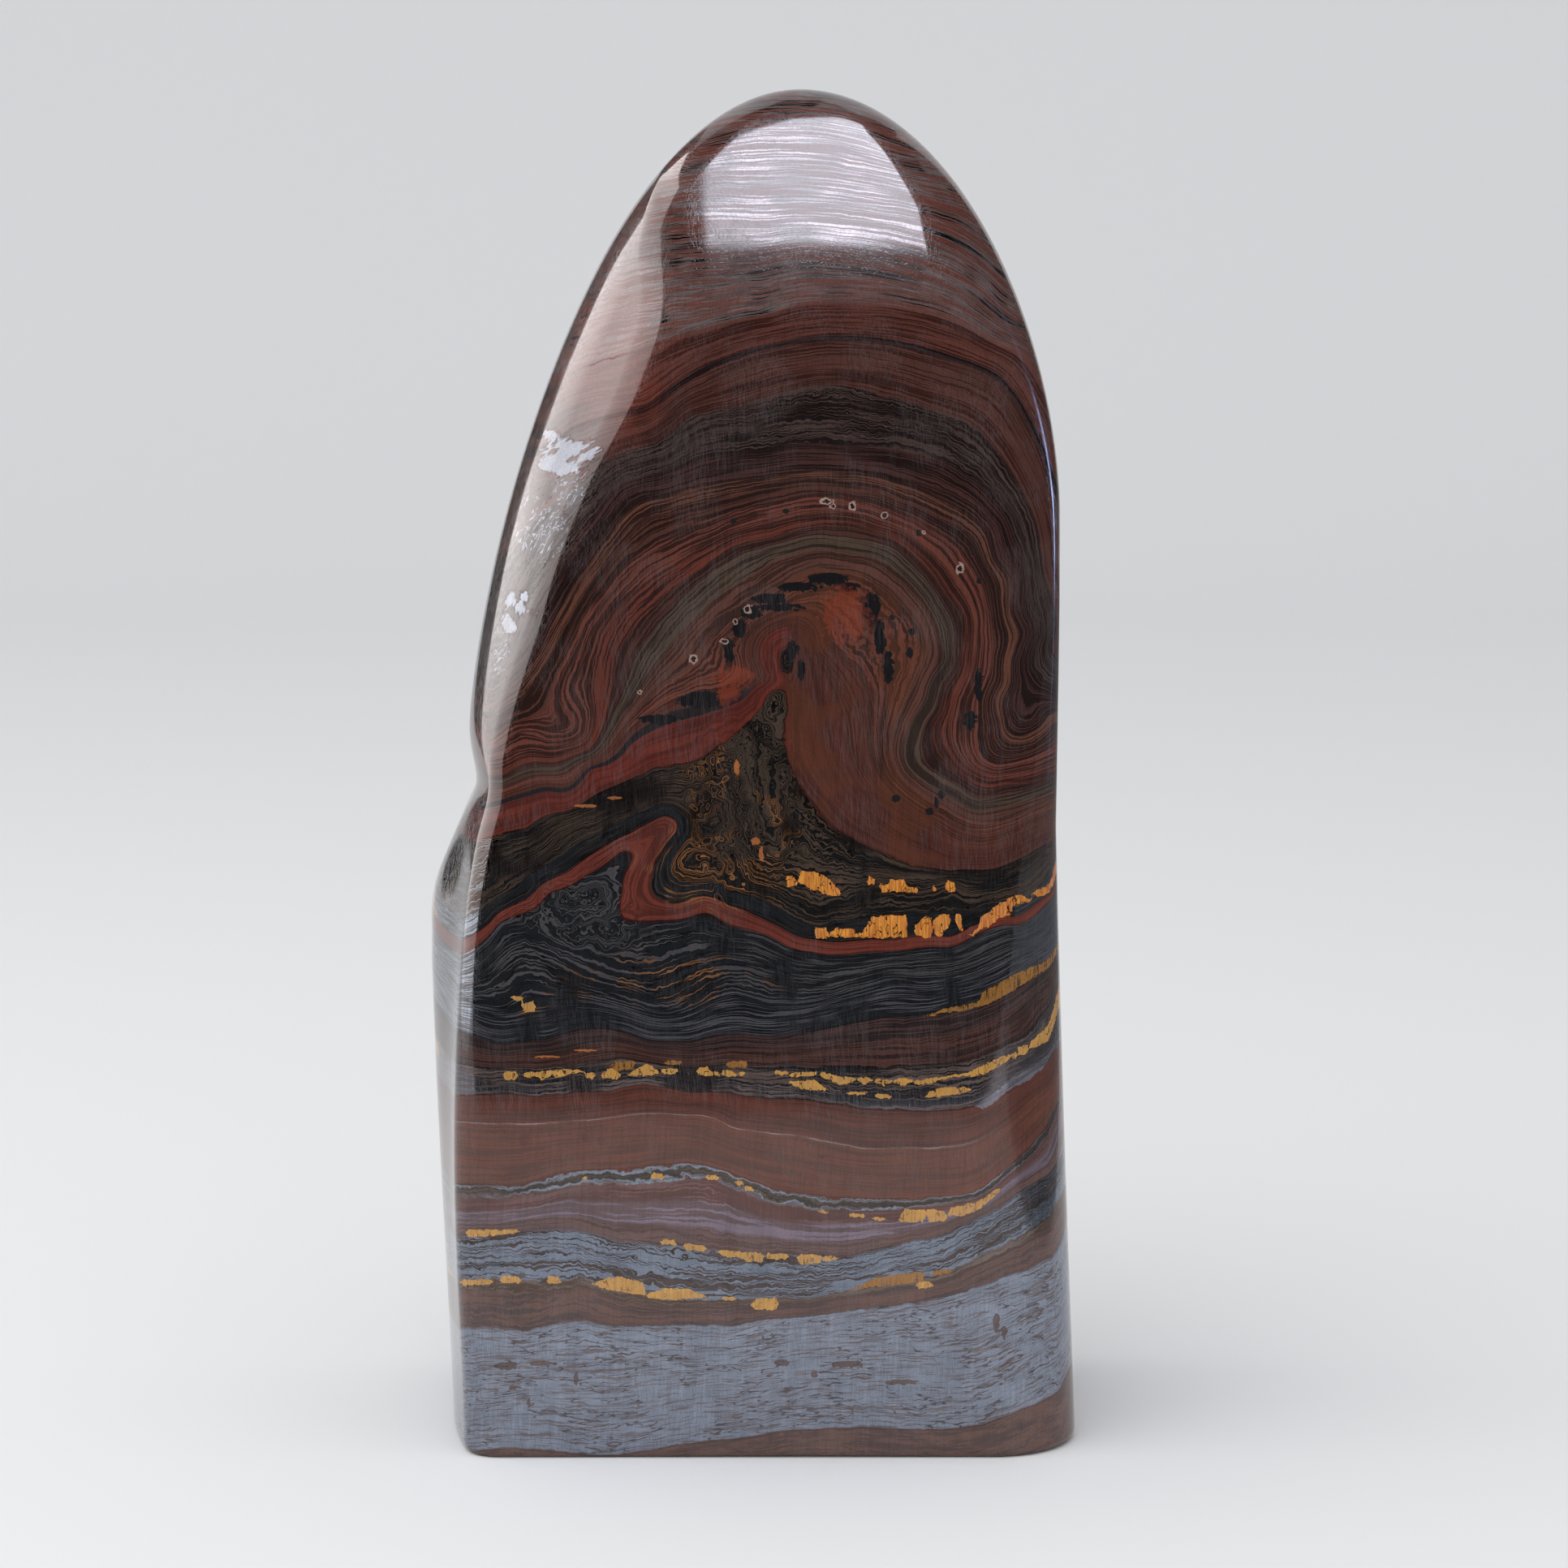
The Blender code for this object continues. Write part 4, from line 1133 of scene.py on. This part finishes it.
def paintPitShadeAndHighlights(here, look):
    # small pits painted black as the shade in their holes, some with a pale rim painted as a highlight on the
    # pit's edge
    # painted shade: black in each pit's hole; painted highlight: a pale ring on the rimmed pits' edges
    lay(look, spots(here.picture, here.rag, shadedPits) * here.front, toneOf("black"), *cover["pitShade"])
    hole = nearestSpot(here.picture, highlightRimmedPits) + here.rag * pitLook["rag"]
    lay(look, (1.0 - hole.rise(*pitLook["rimHighlight"])) * here.front, toneOf("rimHighlight"), *cover["rimHighlight"])
    lay(look, (1.0 - hole.rise(*pitLook["hole"])) * here.front, toneOf("black"), *cover["pitShade"])


polish = {
    "ior": 1.54,
    "roughness": 0.07,
    "firstLean": 0.11,  # sideways for each step up; the second family leans the other way
    "firstClose": 2.6,
    "firstLong": 0.10,
    "firstLine": (0.5, 0.035),
    "secondLean": 0.07,
    "secondClose": 3.4,
    "secondLong": 0.08,
    "secondLine": (0.5, 0.03),
    "lineNoise": (2.0, 0.65),
    "clouds": (0.60, 0.40),
    "pale": 0.09,  # what a scratch does to the tone, the haematite, the brightness and the roughness
    "lessIron": 0.07,
    "darker": 0.12,
    "rougher": 0.05,
    "cloudScale": 0.25,
    "cloudBeds": 0.3,
    "cloudNoise": (3.0, 0.6),
    "cloudGain": 0.6,  # shares of the tone that each noise carries, and the rest
    "secondGain": 0.5,
    "grainNoise": (5.0, 1.0, 0.6),
    "grainGain": 0.5,
    "even": 0.2,
    "roughGain": 0.04,
    "reliefGain": 0.1,
    "bump": 0.15,
    "bumpDepth": 0.00002,
}


def polishFace(here, look, shader):
    # lapping scratches: two families of fine, nearly upright lines
    across, back, up = here.across, here.back, here.up
    close, closer = polish["firstClose"], polish["secondClose"]
    firstAcross = (across + up * polish["firstLean"]) * close
    secondAcross = (across - up * polish["secondLean"]) * closer
    firstPlace = here.wire.together(firstAcross, back * close, up * polish["firstLong"])
    secondPlace = here.wire.together(secondAcross, back * closer, up * polish["secondLong"])
    first = firstPlace.noise(1.0, *polish["lineNoise"])
    second = secondPlace.noise(1.0, *polish["lineNoise"])
    firstLine = first.near(*polish["firstLine"])
    scratch = anyOf([firstLine, second.near(*polish["secondLine"])]) * here.sway.rise(*polish["clouds"])
    look["colour"] = (scratch * polish["pale"]).blend(look["colour"], toneOf("paleLine"))
    look["iron"] = look["iron"] * (1.0 - scratch * polish["lessIron"])
    wide = polish["cloudScale"]
    cloudPlace = here.wire.together(across * wide, back * wide, up * wide + here.bent * polish["cloudBeds"])
    cloud = cloudPlace.noise(1.0, *polish["cloudNoise"])
    grain = here.place.noise(*polish["grainNoise"])
    bright = cloud * polish["cloudGain"] + second * polish["secondGain"] + grain * polish["grainGain"]
    bright = bright + polish["even"] - scratch * polish["darker"]
    rough = polish["roughness"] + (first - 0.5) * polish["roughGain"] + scratch * polish["rougher"]
    height = first * polish["reliefGain"] - firstLine
    bump = {"Strength": polish["bump"], "Distance": polish["bumpDepth"], "Height": height}
    for name, made in (
        ("Base Color", look["colour"].scaled(bright)),
        ("Metallic", look["iron"]),
        ("Roughness", rough),
        ("Normal", here.wire.node("Bump", {}, bump)),
    ):
        here.wire.tree.links.new(made.socket, shader.inputs[name])
    shader.inputs["IOR"].default_value = polish["ior"]


def bandedIronstone():
    material = bpy.data.materials.new("banded_ironstone")
    material.use_nodes = True
    tree = material.node_tree
    here = startingWires(tree)
    bendBeds(here)
    look = drawThreads(here)
    layRedBeds(here, look)
    layPatches(here, look)
    layTigersEye(here, look)
    laySilver(here, look)
    paintPitShadeAndHighlights(here, look)
    polishFace(here, look, tree.nodes["Principled BSDF"])
    print("material:", len(tree.nodes), "nodes")
    return material


def makeStone():
    mesh, shift = stoneMesh()
    stone = bpy.data.objects.new("tigerIron", mesh)
    bpy.context.scene.collection.objects.link(stone)
    mesh.materials.append(bandedIronstone())
    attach(stone, "root")
    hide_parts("stone")
    print("stone:", len(mesh.vertices), "points,", len(mesh.polygons), "faces")
    return shift


studio = {
    "floorTone": 0.755,
    "floorRough": 0.9,
    "floorWide": 6.0,
    "floorFront": -2.0,
    "bendStart": 0.75,
    "bendRadius": 0.45,
    "bendSteps": 25,
    "wallHigh": 1.6,
    "airTone": (0.96, 0.97, 1.0),
    "airStrength": 0.895,
    "softSize": 0.9,
    "softPlace": (-0.40, -0.30, 0.70),
    "softPower": 3.6,
    # painted shade that only the polish mirrors, for the unlit room: dark and dim sheets past the pale cloth's
    # front and right ends, and upright sheets
    "paleFrom": -0.190,
    "paleTo": 0.150,
    "shadeSheetSide": 3.0,
    "shadeSheetBack": 1.1,
    "shadeSheetLift": 0.001,
    "shadeSheetRough": 1.0,
    "darkTone": 0.045,
    "dimTone": 0.22,
    "dimRightX": 0.618,
    "dimRightY": (-1.30, 1.90),
    "dimRightZ": (0.002, 0.12),
    "darkRightX": 0.620,
    "darkRightY": (-1.30, 1.90),
    "darkRightZ": (0.12, 1.60),
    "darkLeftX": -0.310,
    "darkLeftY": (0.400, 1.150),
    "darkLeftZ": (0.002, 0.60),
    # panels that only the polish mirrors: corners, tint, and how the glow changes along one axis
    "topCorners": [
        (-0.50, -1.60),
        (0.500, -1.60),
        (0.505, -0.250),
        (0.400, 0.0),
        (0.290, 0.330),
        (0.0, 0.150),
        (-0.165, -0.25),
        (-0.285, -0.75),
    ],
    "topHeight": 0.800,
    "topTint": (0.88, 0.96, 1.10),
    "topGlow": [(-1.60, 0.1), (-1.15, 0.3), (-0.98, 0.5), (-0.91, 1.5), (-0.86, 6.6), (-0.81, 9.2),
                (0.33, 9.0)],
    "sideX": -0.300,
    "sideY": (-0.100, 0.420),
    "sideZ": (0.004, 0.540),
    "sideTint": (1.0, 0.96, 0.95),
    "sideGlow": [(0.0, 1.9), (0.06, 2.0), (0.10, 2.8), (0.13, 3.7), (0.17, 3.2), (0.22, 3.1), (0.30, 2.5),
                 (0.36, 3.4), (0.45, 4.6), (0.54, 5.5)],
    "stripX": 0.300,
    "stripY": (0.060, 0.090),
    "stripZ": (0.004, 0.300),
    "stripTint": (0.55, 0.75, 1.30),
    "stripGlow": [(0.004, 0.2), (0.06, 1.5), (0.08, 8.0), (0.15, 11.0), (0.18, 6.0), (0.22, 0.5),
                  (0.30, 0.2)],
}


def plainMaterial(name, tone, rough):
    material = bpy.data.materials.new(name)
    material.use_nodes = True
    shader = material.node_tree.nodes["Principled BSDF"]
    shader.inputs["Base Color"].default_value = (tone, tone, tone, 1.0)
    shader.inputs["Roughness"].default_value = rough
    shader.inputs["Specular IOR Level"].default_value = 0.0
    return material


def glowMaterial(name, tint, axis, glow):
    # a panel's light, through (place, strength) points along one axis
    material = bpy.data.materials.new(name)
    material.use_nodes = True
    tree = material.node_tree
    tree.nodes.clear()
    wire = Wire(tree)
    place = wire.node("SeparateXYZ", {}, {0: wire.node("TexCoord", {}, {}, out=3)}, out=axis)
    low, high, most = glow[0][0], glow[-1][0], max(level for _, level in glow)
    shares = [((at - low) / (high - low), level / most) for at, level in glow]
    stops = [(at, (share, share, share, 1.0)) for at, share in shares]
    level = wire.node("ValToRGB", {"stops": stops}, {0: (place - low) * (1.0 / (high - low))})
    shine = wire.node("Emission", {}, {"Color": (*tint, 1.0), "Strength": level * most})
    wire.node("OutputMaterial", {}, {"Surface": shine}, out=None)
    return material


def stageSheet(name, points, faces, material):
    mesh = bpy.data.meshes.new(name)
    mesh.from_pydata(points, [], faces)
    mesh.materials.append(material)
    sheet = bpy.data.objects.new(name, mesh)
    bpy.context.scene.collection.objects.link(sheet)
    return sheet


def mirrored(sheet):
    # the camera doesn't see the sheet and it lights nothing; only a polished face mirrors it
    sheet.visible_camera = False
    sheet.visible_diffuse = False
    sheet.visible_shadow = False
    sheet.visible_transmission = False


def makeFloor():
    # a pale sheet that runs back level and then bends up: a quarter circle, then a straight wall
    turn = np.linspace(0.0, np.pi / 2.0, studio["bendSteps"])
    run = [studio["floorFront"]] + (studio["bendStart"] + studio["bendRadius"] * np.sin(turn)).tolist()
    rise = [0.0] + (studio["bendRadius"] * (1.0 - np.cos(turn))).tolist()
    run.append(run[-1])
    rise.append(studio["wallHigh"])
    half = studio["floorWide"] / 2.0
    points = [(side * half, y, z) for y, z in zip(run, rise) for side in (-1.0, 1.0)]
    faces = [(2 * i, 2 * i + 1, 2 * i + 3, 2 * i + 2) for i in range(len(run) - 1)]
    pale = plainMaterial("paleSheet", studio["floorTone"], studio["floorRough"])
    floor = stageSheet("paleFloor", points, faces, pale)
    floor.data.shade_smooth()
    print("floor made")


def makeAir():
    world = bpy.data.worlds.new("studioAir")
    bpy.context.scene.world = world
    world.use_nodes = True
    air = world.node_tree.nodes["Background"]
    air.inputs["Color"].default_value = (*studio["airTone"], 1.0)
    air.inputs["Strength"].default_value = studio["airStrength"]
    world.cycles_visibility.glossy = False
    data = bpy.data.lights.new("softLight", "AREA")
    data.size = studio["softSize"]
    data.energy = studio["softPower"]
    light = bpy.data.objects.new("softLight", data)
    light.location = studio["softPlace"]
    light.visible_glossy = False
    light.visible_camera = False
    bpy.context.scene.collection.objects.link(light)
    print("light made")


def upright(x, spanY, spanZ):
    near, far = spanY
    low, high = spanZ
    return [(x, near, low), (x, far, low), (x, far, high), (x, near, high)]


def makePanels(shift):
    top = [(x + shift[0], y + shift[1], studio["topHeight"]) for x, y in studio["topCorners"]]
    side = upright(studio["sideX"], studio["sideY"], studio["sideZ"])
    strip = upright(studio["stripX"], studio["stripY"], studio["stripZ"])
    for name, key, corners, axis in (
        ("topPanel", "top", top, 1),
        ("sidePanel", "side", side, 2),
        ("rightStrip", "strip", strip, 2),
    ):
        glow = glowMaterial(key + "Glow", studio[key + "Tint"], axis, studio[key + "Glow"])
        mirrored(stageSheet(name, corners, [range(len(corners))], glow))
    print("panels made")


def makeDarkRoom():
    # dark and dim sheets as painted shade, standing for the unlit room and a dimmer floor on the right, as the
    # polish mirrors them
    darkShadeSheet = plainMaterial("darkShadeSheet", studio["darkTone"], studio["shadeSheetRough"])
    dimShadeSheet = plainMaterial("dimShadeSheet", studio["dimTone"], studio["shadeSheetRough"])
    side, lift = studio["shadeSheetSide"], studio["shadeSheetLift"]
    front, right = studio["paleFrom"], studio["paleTo"]
    for name, low, high, cloth in (
        ("darkFront", (-side, studio["floorFront"]), (side, front), darkShadeSheet),
        ("dimRight", (right, front), (side, studio["shadeSheetBack"]), dimShadeSheet),
    ):
        corners = [(low[0], low[1]), (high[0], low[1]), (high[0], high[1]), (low[0], high[1])]
        mirrored(stageSheet(name, [(x, y, lift) for x, y in corners], [range(4)], cloth))
    for name, cloth in (("darkRight", darkShadeSheet), ("darkLeft", darkShadeSheet), ("dimRight", dimShadeSheet)):
        corners = upright(studio[name + "X"], studio[name + "Y"], studio[name + "Z"])
        mirrored(stageSheet(name + "Card", corners, [range(4)], cloth))
    print("dark cloths made")


def makeCamera(shift):
    data = bpy.data.cameras.new("photoCamera")
    data.sensor_width = camera["sensor"]
    data.lens = camera["focal"] / camera["picture"] * camera["sensor"]
    data.clip_start, data.clip_end = camera["clip"]
    stand = bpy.data.objects.new("photoCamera", data)
    stand.location = np.array(camera["stand"]) + shift
    stand.rotation_euler = (np.radians(90.0 - camera["tilt"]), 0.0, 0.0)
    bpy.context.scene.collection.objects.link(stand)
    bpy.context.scene.camera = stand
    print("camera set")


shift = makeStone()
makeFloor()
makeAir()
makePanels(shift)
makeDarkRoom()
makeCamera(shift)
bpy.context.scene.view_settings.view_transform = "Standard"
